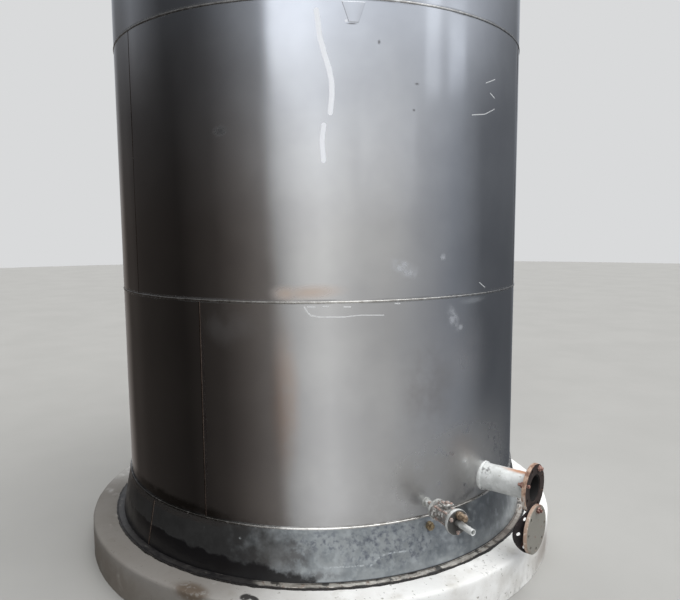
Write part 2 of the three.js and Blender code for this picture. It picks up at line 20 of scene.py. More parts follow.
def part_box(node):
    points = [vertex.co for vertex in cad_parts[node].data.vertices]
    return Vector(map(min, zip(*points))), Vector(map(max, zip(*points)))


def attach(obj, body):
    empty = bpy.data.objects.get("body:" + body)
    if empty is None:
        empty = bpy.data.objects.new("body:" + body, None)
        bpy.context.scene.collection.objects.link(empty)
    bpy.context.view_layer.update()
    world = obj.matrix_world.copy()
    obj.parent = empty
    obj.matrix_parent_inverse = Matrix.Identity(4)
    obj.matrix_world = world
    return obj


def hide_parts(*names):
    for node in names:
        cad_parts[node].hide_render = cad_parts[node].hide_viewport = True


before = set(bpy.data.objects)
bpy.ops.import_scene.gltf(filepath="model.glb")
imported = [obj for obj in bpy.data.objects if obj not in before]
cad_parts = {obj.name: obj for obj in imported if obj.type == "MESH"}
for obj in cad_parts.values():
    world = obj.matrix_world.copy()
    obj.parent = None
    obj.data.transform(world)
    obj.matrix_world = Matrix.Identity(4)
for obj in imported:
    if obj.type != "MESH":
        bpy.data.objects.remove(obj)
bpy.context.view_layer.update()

BODY = "root"
MM = 0.001
TURN = 2 * math.pi
GAP = 0.3 * MM
SHELL_RADIUS = 1.095
PLINTH_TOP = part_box("concrete_plinth")[1].z

log = logging.getLogger("tank")

Piece = bpy.types.Object
Socket = bpy.types.NodeSocket
Colour = tuple[float, float, float, float]
Place = tuple[float, float, float]
Pair = tuple[float, float]
Inputs = dict[str | int, Any] | tuple[Any, ...]
Test = Callable[[Vector, Vector], bool]

# How a Map Range node eases in and out
SMOOTH = {"interpolation_type": "SMOOTHSTEP"}


# Colours and shader nodes


def linear(hex_code: str) -> Colour:
    """Turn an sRGB hex value into linear colour.

    Args:
        hex_code: six hex digits, such as "8a6a48".

    Returns:
        Red, green, blue and an alpha of one.
    """
    shares = [int(hex_code[i:i + 2], 16) / 255 for i in (0, 2, 4)]
    red, green, blue = (s / 12.92 if s <= 0.04045 else ((s + 0.055) / 1.055) ** 2.4 for s in shares)
    return red, green, blue, 1.0


class Graph:
    """A shader tree that nodes are added to."""

    def __init__(self, tree: bpy.types.NodeTree) -> None:
        """Start with the tree empty."""
        self.tree = tree
        tree.nodes.clear()

    def add(self, kind: str, inputs: Inputs = (), output: int | str | None = 0,
            stops: tuple[tuple[float, Any], ...] = (), **settings: Any) -> Any:
        """Add a shader node with its settings and links.

        Args:
            kind: the node's type, without the leading "ShaderNode".
            inputs: values or other nodes' outputs, for its inputs in order, by name or by number.
            output: the output that is asked for, or None for the whole node.
            stops: positions and grey levels or colours, for a colour ramp.
            **settings: the node's own properties.

        Returns:
            That output, or the node.
        """
        node = self.tree.nodes.new("ShaderNode" + kind)
        for key, value in settings.items():
            setattr(node, key, value)
        for key, value in (inputs if isinstance(inputs, dict) else dict(enumerate(inputs))).items():
            if isinstance(value, Socket):
                self.tree.links.new(value, node.inputs[key])
            else:
                node.inputs[key].default_value = value
        for i, (position, level) in enumerate(stops):
            points = node.color_ramp.elements
            point = points[i] if i < 2 else points.new(position)
            point.position = position
            point.color = level if isinstance(level, tuple) else (level, level, level, 1.0)
        return node if output is None else node.outputs[output]

    def between(self, value: Socket, low: float, high: float, soft: float, **settings: Any) -> Socket:
        """One between two levels, fading to zero past each.

        Args:
            value: what is compared.
            low: the lower level.
            high: the upper level.
            soft: half the distance over which it fades.
            **settings: how it fades.

        Returns:
            A level from zero to one.
        """
        ends = tuple(self.add("MapRange", (value, end - way, end + way), **settings)
                     for end, way in ((low, soft), (high, -soft)))
        return self.add("Math", ends, operation="MULTIPLY")


# Finishes


class Metal(Enum):
    """How metallic a surface answers to light."""

    NONE = 0.0
    PAINT_WITH_FLAKE = 0.25
    OXIDISED = 0.6
    BARE = 1.0


@dataclass(frozen=True)
class Belt:
    """A zone between two heights, with soft edges."""

    low: float
    high: float
    soft: float = 0.02  # distance over which each edge fades


@dataclass(frozen=True)
class Spot:
    """A stretched round zone on the rolled shell."""

    azimuth: float
    height: float
    half_width: float
    half_height: float
    lean: float = 0.0  # degrees that it is turned, anticlockwise from outside
    hardness: float = 0.2  # 0 for a soft cloud, towards 1 for a crisp edge
    ragged: float = 0.0  # how far its edge wanders, as a share of its size


@dataclass(frozen=True)
class Stroke:
    """A straight mark of even width on the rolled shell, with round ends."""

    start: Pair  # azimuth and height
    end: Pair
    half_width: float
    hardness: float = 0.6


def drawn(half_width: float, *points: Pair) -> tuple[Stroke, ...]:
    """Strokes from point to point, each an azimuth and a height."""
    return tuple(Stroke(start, end, half_width) for start, end in zip(points, points[1:]))


@dataclass(frozen=True)
class Lying:
    """A zone on faces that look one way, such as dust on a top."""

    way: Place = (0.0, 0.0, 1.0)  # the direction that the faces look
    start: float = 0.3  # how squarely they must look that way before it begins


@dataclass(frozen=True)
class Ball:
    """A zone round a point, fading out towards an ellipsoid."""

    middle: Place
    reach: Place  # half its size along X, Y and Z
    hardness: float = 0.2


@dataclass(frozen=True)
class Hoop:
    """A zone between two distances from the tank's axis."""

    inner: float
    outer: float
    soft: float = 0.002


Zone = Belt | Spot | Stroke | Lying | Ball | Hoop


@dataclass(frozen=True)
class Layer:
    """Something that lies on a finish, or is worn into it, in patches."""

    colour: str
    size_mm: float  # size of its patches
    fade: Pair = (0.45, 0.6)  # noise levels between which it comes in
    roughness: float | None = None  # None leaves the finish's own
    metallic: float | None = None
    cover: float = 1.0  # the most that it covers
    stretch: Place = (1.0, 1.0, 1.0)  # how much its patches are drawn out along X, Y and Z
    raised_mm: float = 0.0  # below zero where it is sunk
    zones: tuple[Zone, ...] = ()  # it lies where any of them is
    drift: float = 0.0  # gives it a pattern of its own


@dataclass(frozen=True)
class Finish:
    """A surface, from what it is made of and how it was worked."""

    name: str
    colour: str
    second: str
    drift_mm: float = 120.0  # size of the drift from the first colour to the second
    metallic: Metal = Metal.NONE
    roughness: float = 0.5
    swing: float = 0.08  # how far the roughness wanders
    grain_mm: float = 2.0
    grain_depth_mm: float = 0.1
    grain_stretch: Place = (1.0, 1.0, 1.0)
    wave_mm: float = 0.0
    wave_depth_mm: float = 0.0
    ior: float = 1.5
    layers: tuple[Layer, ...] = ()

    def material(self) -> bpy.types.Material:
        """The finish's material, made where it isn't yet."""
        made = bpy.data.materials.get(self.name)
        return made if made else Coating(self).material


def unrolled(azimuth: float, height: float) -> Vector:
    """Point of the shell when it is laid out flat."""
    return Vector((math.radians(azimuth) * SHELL_RADIUS, height, 0.0))


class Coating(Graph):
    """Builds the shader of one finish, layer by layer."""

    def __init__(self, finish: Finish) -> None:
        """Make the material.

        Args:
            finish: the finish that it shows.
        """
        self.finish = finish
        self.material = bpy.data.materials.new(finish.name)
        self.material.use_nodes = True
        super().__init__(self.material.node_tree)
        self.place = self.add("TexCoord", output="Object")
        self.flat: Socket | None = None
        self.relief: Socket | None = None
        self.colour = self._drift()
        self.metallic: Any = finish.metallic.value
        self.roughness: Any = self._roughness()
        self._waves()
        for layer in finish.layers:
            self._lay(layer)
        self._close()

    def noise(self, size_mm: float, stretch: Place = (1.0, 1.0, 1.0), detail: float = 4.0,
              drift: float = 0.0) -> Socket:
        """Noise on the object's own coordinates.

        Args:
            size_mm: size of a patch.
            stretch: how much patches are drawn out along X, Y and Z.
            detail: octaves of finer noise.
            drift: an offset of the pattern, in metres.

        Returns:
            The noise's level.
        """
        scale = tuple(1 / s for s in stretch)
        moved = self.add("Mapping", {"Vector": self.place, "Location": (drift,) * 3, "Scale": scale})
        return self.add("TexNoise", {"Vector": moved, "Scale": 1 / (size_mm * MM), "Detail": detail,
                                     "Roughness": 0.55})

    def _drift(self) -> Socket:
        """The two main colours, wandering slowly into each other.

        Returns:
            The colour.
        """
        share = self.add("MapRange", (self.noise(self.finish.drift_mm), 0.3, 0.7), **SMOOTH)
        colours = {6: linear(self.finish.colour), 7: linear(self.finish.second)}
        return self.add("Mix", {0: share, **colours}, 2, data_type="RGBA")

    def _roughness(self) -> Socket:
        """The roughness, wandering about its mean.

        Returns:
            The roughness.
        """
        finish = self.finish
        wander = self.noise(finish.drift_mm * 0.6, drift=3.0)
        ends = (finish.roughness - finish.swing, finish.roughness + finish.swing)
        return self.add("MapRange", (wander, 0.3, 0.7, *ends))

    def _bump(self, height: Socket, depth_mm: float) -> None:
        """Add one more relief over what is there.

        Args:
            height: level of the relief, from zero to one.
            depth_mm: what one whole step of it measures.
        """
        inputs: dict[str | int, Any] = {"Height": height, "Distance": abs(depth_mm) * MM, "Strength": 1.0}
        if self.relief is not None:
            inputs["Normal"] = self.relief
        self.relief = self.add("Bump", inputs, invert=depth_mm < 0)

    def _waves(self) -> None:
        """Slow waves and fine grain."""
        finish = self.finish
        if finish.wave_depth_mm:
            self._bump(self.noise(finish.wave_mm, detail=1.0, drift=7.0), finish.wave_depth_mm)
        if finish.grain_depth_mm:
            grain = self.noise(finish.grain_mm, finish.grain_stretch, detail=3.0, drift=5.0)
            self._bump(grain, finish.grain_depth_mm)

    def _zone(self, zone: Zone) -> Socket:
        """How much a zone lets through at each point.

        Args:
            zone: the zone.

        Returns:
            A level from zero to one.
        """
        if isinstance(zone, Belt):
            height = self.add("SeparateXYZ", (self.place,), 2)
            return self.between(height, zone.low, zone.high, zone.soft, **SMOOTH)
        if isinstance(zone, Hoop):
            level = self.add("VectorMath", (self.place, (1, 1, 0)), operation="MULTIPLY")
            away = self.add("VectorMath", (level,), 1, operation="LENGTH")
            return self.between(away, zone.inner, zone.outer, zone.soft, **SMOOTH)
        if isinstance(zone, Lying):
            normal = self.add("TexCoord", output="Normal")
            squarely = self.add("VectorMath", (normal, zone.way), 1, operation="DOT_PRODUCT")
            return self.add("MapRange", (squarely, zone.start, 1.0), **SMOOTH)
        if isinstance(zone, Stroke):
            return self._stroke(zone)
        if isinstance(zone, Ball):
            turned = self.add("VectorMath", (self.place, zone.middle), operation="SUBTRACT")
            size = tuple(1 / half for half in zone.reach)
        else:
            turned = self._about(unrolled(zone.azimuth, zone.height), math.radians(zone.lean))
            size = (1 / zone.half_width, 1 / zone.half_height, 0.0)
        sized = self.add("VectorMath", (turned, size), operation="MULTIPLY")
        reach = self.add("VectorMath", (sized,), 1, operation="LENGTH")
        if isinstance(zone, Spot) and zone.ragged:
            wander = self.noise(70.0, detail=8.0, drift=9.0)
            scaled = self.add("Math", (wander, 2 * zone.ragged), operation="MULTIPLY")
            moved = self.add("Math", (scaled, zone.ragged), operation="SUBTRACT")
            reach = self.add("Math", (reach, moved), operation="ADD")
        return self.add("MapRange", (reach, 1.0, zone.hardness), **SMOOTH)

    def _about(self, middle: Vector, angle: float) -> Socket:
        """Flat coordinates on the unrolled shell, from a middle and turned by an angle."""
        centred = self.add("VectorMath", (self._unroll(), middle), operation="SUBTRACT")
        return self.add("Mapping", {"Vector": centred, "Rotation": (0, 0, -angle)})

    def _stroke(self, mark: Stroke) -> Socket:
        """How much one stroke covers, from the distance to the line between its ends.

        Args:
            mark: the stroke.

        Returns:
            A level from zero to one.
        """
        start, end = unrolled(*mark.start), unrolled(*mark.end)
        along = end - start
        turned = self._about((start + end) / 2, math.atan2(along.y, along.x))
        aside = self.add("VectorMath", (turned,), operation="ABSOLUTE")
        past = self.add("VectorMath", (aside, (along.length / 2, 0, 0)), operation="SUBTRACT")
        beyond = self.add("VectorMath", (past, (0, 0, 0)), operation="MAXIMUM")
        away = self.add("VectorMath", (beyond,), 1, operation="LENGTH")
        return self.add("MapRange", (away, mark.half_width, mark.half_width * mark.hardness), **SMOOTH)

    def _unroll(self) -> Socket:
        """Distance round the shell and height, as flat coordinates.

        Returns:
            The coordinates.
        """
        if self.flat is None:
            x, y, z = self.add("SeparateXYZ", (self.place,), None).outputs
            angle = self.add("Math", (y, x), operation="ARCTAN2")
            arc = self.add("Math", (angle, SHELL_RADIUS), operation="MULTIPLY")
            self.flat = self.add("CombineXYZ", (arc, z))
        return self.flat

    def _lay(self, layer: Layer) -> None:
        """Mix one layer over what is there.

        Args:
            layer: the layer.
        """
        patches = self.noise(layer.size_mm, layer.stretch, 6.0, layer.drift)
        mask = self.add("MapRange", (patches, *layer.fade), **SMOOTH)
        open_here = None
        for zone in layer.zones:
            level = self._zone(zone)
            if open_here is not None:
                level = self.add("Math", (open_here, level), operation="MAXIMUM")
            open_here = level
        if open_here is not None:
            mask = self.add("Math", (mask, open_here), operation="MULTIPLY")
        if layer.cover != 1.0:
            mask = self.add("Math", (mask, layer.cover), operation="MULTIPLY")
        self.colour = self.add("Mix", {0: mask, 6: self.colour, 7: linear(layer.colour)}, 2,
                               data_type="RGBA")
        if layer.roughness is not None:
            self.roughness = self.add("Mix", {0: mask, 2: self.roughness, 3: layer.roughness})
        if layer.metallic is not None:
            self.metallic = self.add("Mix", {0: mask, 2: self.metallic, 3: layer.metallic})
        if layer.raised_mm:
            self._bump(mask, layer.raised_mm)

    def _close(self) -> None:
        """Join what was built to the surface shader."""
        inputs: dict[str | int, Any] = {
            "Base Color": self.colour, "Roughness": self.roughness, "Metallic": self.metallic}
        if self.finish.metallic is not Metal.BARE:
            inputs["IOR"] = self.finish.ior
        if self.relief is not None:
            inputs["Normal"] = self.relief
        self.add("OutputMaterial", (self.add("BsdfPrincipled", inputs),), None)


# Modelling moves


def clear() -> None:
    """Deselect every object."""
    bpy.ops.object.select_all(action="DESELECT")


def choose(*pieces: Piece) -> None:
    """Select pieces and nothing else, and make the first the active one.

    Args:
        *pieces: the pieces.
    """
    clear()
    for piece in pieces:
        piece.select_set(True)
    bpy.context.view_layer.objects.active = pieces[0]


def name_it(name: str) -> Piece:
    """Name the active object and its mesh.

    Args:
        name: the name.

    Returns:
        The object.
    """
    obj = bpy.context.object
    obj.name = obj.data.name = name
    return obj


def settle(obj: Piece, place: Matrix | None = None) -> Piece:
    """Put a piece's place, turn and size into its mesh.

    Args:
        obj: the piece.
        place: where it goes first, or None where it already is in place.

    Returns:
        The same piece.
    """
    if place is not None:
        obj.matrix_world = place
    choose(obj)
    bpy.ops.object.transform_apply(location=True, rotation=True, scale=True)
    return obj


@contextmanager
def shaping(obj: Piece) -> Iterator[None]:
    """Edit mode on one piece, with everything in it selected.

    Args:
        obj: the piece.

    Yields:
        Nothing; edit mode ends with the block.
    """
    choose(obj)
    bpy.ops.object.mode_set(mode="EDIT")
    bpy.ops.mesh.select_mode(type="FACE")
    bpy.ops.mesh.select_all(action="SELECT")
    yield
    bpy.ops.object.mode_set(mode="OBJECT")


def merge() -> None:
    """Merge doubled corners of the mesh in edit mode."""
    bpy.ops.mesh.select_all(action="SELECT")
    bpy.ops.mesh.remove_doubles(threshold=0.01 * MM)


def slice_up(low: float, high: float, rows: int) -> None:
    """Cut the mesh in edit mode level, into rows of equal height.

    Args:
        low: its lowest height.
        high: its greatest height.
        rows: number of rows.
    """
    for row in range(1, rows):
        bpy.ops.mesh.select_all(action="SELECT")
        bpy.ops.mesh.bisect(plane_co=(0, 0, low + (high - low) * row / rows), plane_no=(0, 0, 1))


def face_outwards() -> None:
    """Turn all faces of the mesh in edit mode outwards."""
    bpy.ops.mesh.select_all(action="SELECT")
    bpy.ops.mesh.normals_make_consistent(inside=False)


def extrude(rise: float, along: float = 0.0) -> None:
    """Extrude what is selected in edit mode upwards, or along X."""
    bpy.ops.mesh.extrude_region_move(TRANSFORM_OT_translate={"value": (along, 0, rise)})


def swell(rise: float) -> None:
    """Extrude the faces selected in edit mode along their normals."""
    bpy.ops.mesh.extrude_region_shrink_fatten(TRANSFORM_OT_shrink_fatten={"value": rise})


def pick_faces(obj: Piece, test: Test) -> None:
    """Select faces in edit mode.

    Args:
        obj: the piece.
        test: says by a face's middle and normal whether it is selected.
    """
    bpy.ops.mesh.select_mode(type="FACE")
    bpy.ops.mesh.select_all(action="DESELECT")
    shape = bmesh.from_edit_mesh(obj.data)
    for face in shape.faces:
        face.select_set(test(face.calc_center_median(), face.normal))
    bmesh.update_edit_mesh(obj.data)


def pick_edges(obj: Piece, test: Test) -> None:
    """Select edges in edit mode.

    Args:
        obj: the piece.
        test: says by an edge's middle and direction whether it is selected.
    """
    bpy.ops.mesh.select_mode(type="EDGE")
    bpy.ops.mesh.select_all(action="DESELECT")
    shape = bmesh.from_edit_mesh(obj.data)
    for edge in shape.edges:
        start, end = (v.co for v in edge.verts)
        edge.select_set(test((start + end) / 2, (end - start).normalized()))
    bmesh.update_edit_mesh(obj.data)


def apply(obj: Piece, kind: str, **settings: Any) -> None:
    """Add a modifier with its settings and apply it.

    Args:
        obj: the piece.
        kind: the modifier's type.
        **settings: the modifier's own properties.
    """
    choose(obj)
    modifier = obj.modifiers.new(kind.title(), kind)
    for key, value in settings.items():
        setattr(modifier, key, value)
    bpy.ops.object.modifier_apply(modifier=modifier.name)


def soften(obj: Piece, width: float, segments: int = 2, angle: float = 35.0) -> None:
    """Round a piece's edges that are sharper than an angle in degrees."""
    apply(obj, "BEVEL", width=width, segments=segments, limit_method="ANGLE",
          angle_limit=math.radians(angle), harden_normals=False)


def roughen(obj: Piece, size: float, depth: float, outward: float = 0.5) -> None:
    """Push a surface in and out with seeded noise.

    Args:
        obj: the piece.
        size: size of the lumps.
        depth: from the lowest dent to the highest lump.
        outward: share of the depth that stands outside the first surface.
    """
    lumps = bpy.data.textures.new(obj.name, "CLOUDS")
    lumps.noise_scale = size
    lumps.noise_depth = 3
    apply(obj, "DISPLACE", texture=lumps, strength=depth, mid_level=1 - outward,
          texture_coords="LOCAL")
    bpy.data.textures.remove(lumps)


def block(name: str, middle: Place, size: Place, edge: float = 0.0, segments: int = 2) -> Piece:
    """Model a box with rounded edges.

    Args:
        name: its name.
        middle: its middle.
        size: its size along X, Y and Z.
        edge: width of the rounding.
        segments: faces across the rounding.

    Returns:
        The box.
    """
    clear()
    bpy.ops.mesh.primitive_cube_add(size=1, location=middle)
    box = name_it(name)
    box.scale = size
    settle(box)
    if edge:
        soften(box, edge, segments)
    return box


def post(name: str, radius: float, length: float, middle: float = 0.0, sides: int = 96) -> Piece:
    """Add an upright cylinder on the Z axis.

    Args:
        name: its name.
        radius: its radius.
        length: its length.
        middle: height of its middle.
        sides: corners of the circle.

    Returns:
        The cylinder.
    """
    clear()
    bpy.ops.mesh.primitive_cylinder_add(vertices=sides, radius=radius, depth=length,
                                        location=(0, 0, middle))
    return settle(name_it(name))


def disc(name: str, radius: float, middle: Place, sides: int) -> Piece:
    """Add a flat round face that looks up.

    Args:
        name: its name.
        radius: its radius.
        middle: its middle.
        sides: corners of the circle.

    Returns:
        The face.
    """
    clear()
    bpy.ops.mesh.primitive_circle_add(vertices=sides, radius=radius, fill_type="NGON", location=middle)
    return settle(name_it(name))


def turn(name: str, outline: list[Pair], sides: int = 64) -> Piece:
    """Build up a round solid by extruding and sizing its top face, step by step.

    Args:
        name: the piece's name.
        outline: radius and height of each step, from the foot up.
        sides: corners of the circle.

    Returns:
        The piece, upright on the Z axis.
    """
    (radius, height), *steps = outline
    obj = disc(name, radius, (0, 0, height), sides)
    with shaping(obj):
        for wide, high in steps:
            extrude(high - height)
            share = wide / radius
            bpy.ops.transform.resize(value=(share, share, 1), center_override=(0, 0, high))
            radius, height = wide, high
        face_outwards()
    return obj


def edged(radius: float, low: float, high: float, rim: float) -> list[Pair]:
    """Outline of a disc with chamfered edges, from the foot up."""
    return [(radius - rim, low), (radius, low + rim), (radius, high - rim), (radius - rim, high)]


def ring(name: str, inner: float, outer: float, low: float, high: float, sides: int = 128,
         start: float = 0.0, sweep: float = 360.0, rows: int = 1, flare: float = 0.0) -> Piece:
    """Spin an upright strip round the Z axis.

    Args:
        name: the piece's name.
        inner: inner radius.
        outer: outer radius.
        low: lowest height.
        high: greatest height.
        sides: steps round.
        start: azimuth at which it begins.
        sweep: degrees that it goes round.
        rows: faces from foot to top.
        flare: how much farther out the foot stands than the top.

    Returns:
        The piece.
    """
    clear()
    middle = ((inner + outer) / 2, 0, (low + high) / 2)
    bpy.ops.mesh.primitive_plane_add(size=1, location=middle, rotation=(math.pi / 2, 0, 0))
    obj = name_it(name)
    obj.scale = (outer - inner, high - low, 1)
    settle(obj)
    with shaping(obj):
        pick_edges(obj, lambda at, way: at.z < low + 0.01 * MM)
        bpy.ops.transform.translate(value=(flare, 0, 0))
        slice_up(low, high, rows)
        bpy.ops.mesh.select_all(action="SELECT")
        bpy.ops.mesh.spin(steps=sides, angle=-math.radians(sweep), center=(0, 0, 0), axis=(0, 0, 1))
        merge()
        if sweep == 360.0:
            pick_faces(obj, lambda at, way: abs(at.cross(way).z) > 0.9 * at.xy.length)
            bpy.ops.mesh.delete(type="ONLY_FACE")
            bpy.ops.mesh.select_all(action="SELECT")
            bpy.ops.mesh.delete_loose(use_verts=True, use_edges=True, use_faces=False)
        face_outwards()
    obj.rotation_euler.z = math.radians(start)
    return settle(obj)


def copy_of(obj: Piece, name: str, place: Matrix) -> Piece:
    """Copy a piece with a mesh of its own.

    Args:
        obj: the piece.
        name: the copy's name.
        place: where the copy goes.

    Returns:
        The copy, with its place in its mesh.
    """
    twin = obj.copy()
    twin.data = obj.data.copy()
    bpy.context.collection.objects.link(twin)
    twin.name = twin.data.name = name
    return settle(twin, place)


def set_out(name: str, obj: Piece, places: Iterable[Matrix]) -> Piece:
    """Copy a piece to every place and join the copies.

    Args:
        name: the joined piece's name.
        obj: the piece, which is used up.
        places: where the copies go.

    Returns:
        The joined piece.
    """
    copies = [copy_of(obj, f"{name}_{i + 1}", place) for i, place in enumerate(places)]
    bpy.data.objects.remove(obj)
    return fuse(name, *copies)


def spread(name: str, obj: Piece, count: int, first: float = 0.0, whole: int | None = None) -> Piece:
    """Copy a piece round the Z axis, in steps that fit a whole turn, and join the copies."""
    return set_out(name, obj, (swung(first + i * 360 / (whole or count)) for i in range(count)))


def fuse(name: str, *parts: Piece) -> Piece:
    """Join pieces into one mesh.

    Args:
        name: the joined piece's name.
        *parts: the pieces.

    Returns:
        The joined piece.
    """
    choose(*parts)
    bpy.ops.object.join()
    return name_it(name)


def carve(obj: Piece, *cutters: Piece) -> None:
    """Cut shapes out of a piece.

    Args:
        obj: the piece.
        *cutters: the shapes, which are used up.
    """
    for cutter in cutters:
        apply(obj, "BOOLEAN", object=cutter, operation="DIFFERENCE", solver="EXACT")
        bpy.data.objects.remove(cutter)


def shift(x: float, y: float, z: float) -> Matrix:
    """Placement that moves a shape."""
    return Matrix.Translation((x, y, z))


def swung(azimuth: float) -> Matrix:
    """Placement that swings a shape round the Z axis, in degrees."""
    return Matrix.Rotation(math.radians(azimuth), 4, "Z")


def lay_along(azimuth: float, height: float) -> Matrix:
    """Placement that lays an upright shape outwards, its -X side on top."""
    return shift(0, 0, height) @ swung(azimuth) @ Matrix.Rotation(math.pi / 2, 4, "Y")


NOZZLE_AXIS = shift(0, -0.06, 0) @ lay_along(0.0, PLINTH_TOP + 0.324)
VALVE_AXIS = lay_along(-24.1, PLINTH_TOP + 0.297)


def span(node: str) -> Pair:
    """Lowest and greatest height of a CAD node."""
    low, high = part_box(node)
    return low.z, high.z


def around(radius: float, azimuth: float, height: float) -> Vector:
    """Point at a distance from the tank's axis."""
    angle = math.radians(azimuth)
    return Vector((radius * math.cos(angle), radius * math.sin(angle), height))


def present(obj: Piece, finish: Finish, slot: str, *nodes: str, angle: float = 35.0,
            place: Matrix | None = None) -> None:
    """Put a finished piece in its place, shade it, give it its material and report it.

    Args:
        obj: the piece.
        finish: its finish.
        slot: the record's material slot; not used.
        *nodes: CAD nodes that it stands for.
        angle: the sharpest edge that is shaded smoothly, in degrees.
        place: where it goes, or None where it already is in place.
    """
    settle(obj, place)
    bpy.ops.object.shade_smooth_by_angle(angle=math.radians(angle))
    obj.data.materials.clear()
    obj.data.materials.append(finish.material())
    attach(obj, BODY)
    if nodes:
        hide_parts(*nodes)
    log.info("%s: %d faces, %s", obj.name, len(obj.data.polygons), finish.name)


# What the surfaces are made of


# Cold-rolled sheet keeps its smooth mill skin, so it is a soft mirror. Rolling lines run level
# and draw reflections out upright. Years of handling leave haze, stains, chalk and scratches.
# Some layers are painted light: the nozzle pipe's shadow, a highlight and a shadow line at the
# patch plate, and glints under the middle weld.
MILL_SHEET = Finish(
    name="mill_finish_stainless_sheet", colour="cfd0d2", second="c3c4c7", drift_mm=420,
    metallic=Metal.BARE, roughness=0.12, swing=0.025, grain_mm=3, grain_stretch=(14, 14, 1),
    grain_depth_mm=0.035, wave_mm=260, wave_depth_mm=0.9, layers=(
        Layer("a9a8a6", 60, (0.1, 0.5), 0.46, 0.75, cover=0.9,
            zones=(Spot(-12, 0.56, 0.68, 0.44, 0, 0.1), Spot(-24, 0.6, 0.36, 0.26, 0, 0))),
        Layer("a9a8aa", 90, (0.1, 0.5), 0.46, 0.75, cover=0.45, drift=0.4,
            zones=(Spot(-13, 1.1, 0.27, 0.3, 0, 0),)),
        Layer("6b6a6b", 90, (0.3, 0.65), 0.45, 0.6, cover=0.45, drift=0.8,
            zones=(Spot(-8, 0.5, 0.22, 0.17), Spot(-20, 0.45, 0.16, 0.05))),
        Layer("7a7069", 160, (0.3, 0.7), 0.4, 0.8, cover=0.4, drift=1.3,
            zones=(Spot(-70, 1.3, 0.16, 0.12), Spot(-24, 1, 0.2, 0.3))),
        Layer("cdb6a8", 150, (0.15, 0.55), cover=0.5, drift=1.6, zones=(Spot(-57.5, 0.99, 0.085, 0.42),)),
        Layer("cdb9a9", 45, (0.12, 0.42), 0.5, 0.5, cover=0.72, drift=2.1,
            zones=(Spot(-51.6, 1.445, 0.19, 0.045, 3, 0), Spot(-57, 1.44, 0.09, 0.05, 0, 0))),
        Layer("8f8e8c", 90, (0.2, 0.6), cover=0.35, drift=3, zones=(Belt(0.39, 0.45, 0.07),)),
        Layer("3a3735", 30, (0.36, 0.6), 0.4, 0.7, cover=0.4, stretch=(6, 6, 1), drift=3.4,
            zones=(Belt(1.395, 1.414, 0.004), Belt(2.614, 2.633, 0.004))),
        Layer("6f6c69", 50, (0.3, 0.5), 0.2, cover=0.9, stretch=(3, 3, 1), drift=4.2,
            zones=(Spot(-96, 0.43, 0.66, 0.055, -1, 0.5, 0.4), Belt(0.4, 0.42, 0.006))),
        # Painted shadow: the nozzle pipe's shadow on the shell, below and left of the pipe.
        Layer("35363a", 40, (0.3, 0.6), 0.45, 0.4, cover=0.7, drift=4.6,
            zones=(Spot(-10.5, 0.452, 0.1, 0.032, 12, 0.2, 0.4), Spot(-7.2, 0.505, 0.016, 0.05))),
        Layer("5d463c", 20, (0.35, 0.6), 0.2, 0.95, cover=0.6, drift=5,
            zones=(Spot(-77.6, 0.9, 0.012, 0.52, 0, 0.4),)),
        Layer("4a494a", 25, (0.2, 0.5), 0.4, 0.8, cover=0.7, drift=5.5,
            zones=(Spot(-71.4, 2.115, 0.045, 0.03), Spot(-27.4, 2.304, 0.014, 0.007),
                   Spot(-28.1, 2.197, 0.009, 0.007), Spot(-36.3, 2.457, 0.009, 0.012),
                   # The thin dark line along the patch plate's foot is painted shadow.
                   Spot(-42.2, 2.522, 0.028, 0.004, 0, 0.3))),
        Layer("f8fafe", 30, (0.02, 0.4), 0.6, 0, cover=0.92, drift=6.1,
            zones=(*drawn(0.0128, (-49.6, 2.57), (-49.3, 2.525), (-48.9, 2.464), (-47.9, 2.395),
                          (-47.1, 2.349), (-46.55, 2.295), (-46.5, 2.245), (-46.9, 2.175)),
                   *drawn(0.0125, (-48.3, 2.125), (-48.7, 2.06), (-48.4, 1.985)),
                   # The small white spot at the patch plate's lower left is a painted highlight.
                   Spot(-43.4, 2.533, 0.007, 0.008))),
        Layer("eceded", 14, (0.15, 0.45), 0.6, 0.2, cover=0.72, drift=6.8,
            zones=(*drawn(0.0036, (-52.9, 1.384), (-52.3, 1.363), (-51.5, 1.348), (-49.8, 1.342),
                          (-44, 1.34)),
                   *drawn(0.0025, (-44, 1.34), (-42.5, 1.343), (-40.4, 1.346), (-35.2, 1.342)),
                   # These four short strokes just under the middle weld are painted glints; the other
                   # strokes are scratches.
                   *drawn(0.003, (-52.2, 1.385), (-50.5, 1.385)),
                   *drawn(0.0025, (-48.9, 1.387), (-47.7, 1.387)),
                   *drawn(0.0035, (-44.2, 1.383), (-42.8, 1.382)),
                   *drawn(0.003, (-32.5, 1.39), (-31.3, 1.389)),
                   *drawn(0.0025, (-5.7, 2.357), (-1.5, 2.385)), *drawn(0.003, (-3.6, 2.317), (-1.6, 2.302)),
                   *drawn(0.0025, (-11, 2.205), (-6, 2.219), (-1.5, 2.252)),
                   *drawn(0.0025, (-7, 1.455), (-4.5, 1.43)))),
        Layer("c6cad2", 30, (0.3, 0.66), 0.6, 0.3, cover=0.5, drift=7.7,
            zones=(Spot(-16.4, 1.303, 0.04, 0.085, 25), Spot(-14, 1.262, 0.022, 0.02),
                   Spot(-30, 1.537, 0.1, 0.042, -23), Spot(-19.9, 1.582, 0.02, 0.022))),
        Layer("b4bac2", 80, (0.15, 0.6), 0.5, 0.6, cover=0.35, drift=8.3,
            zones=(Spot(-9.4, 1.377, 0.12, 0.02, 2),)),
    ))

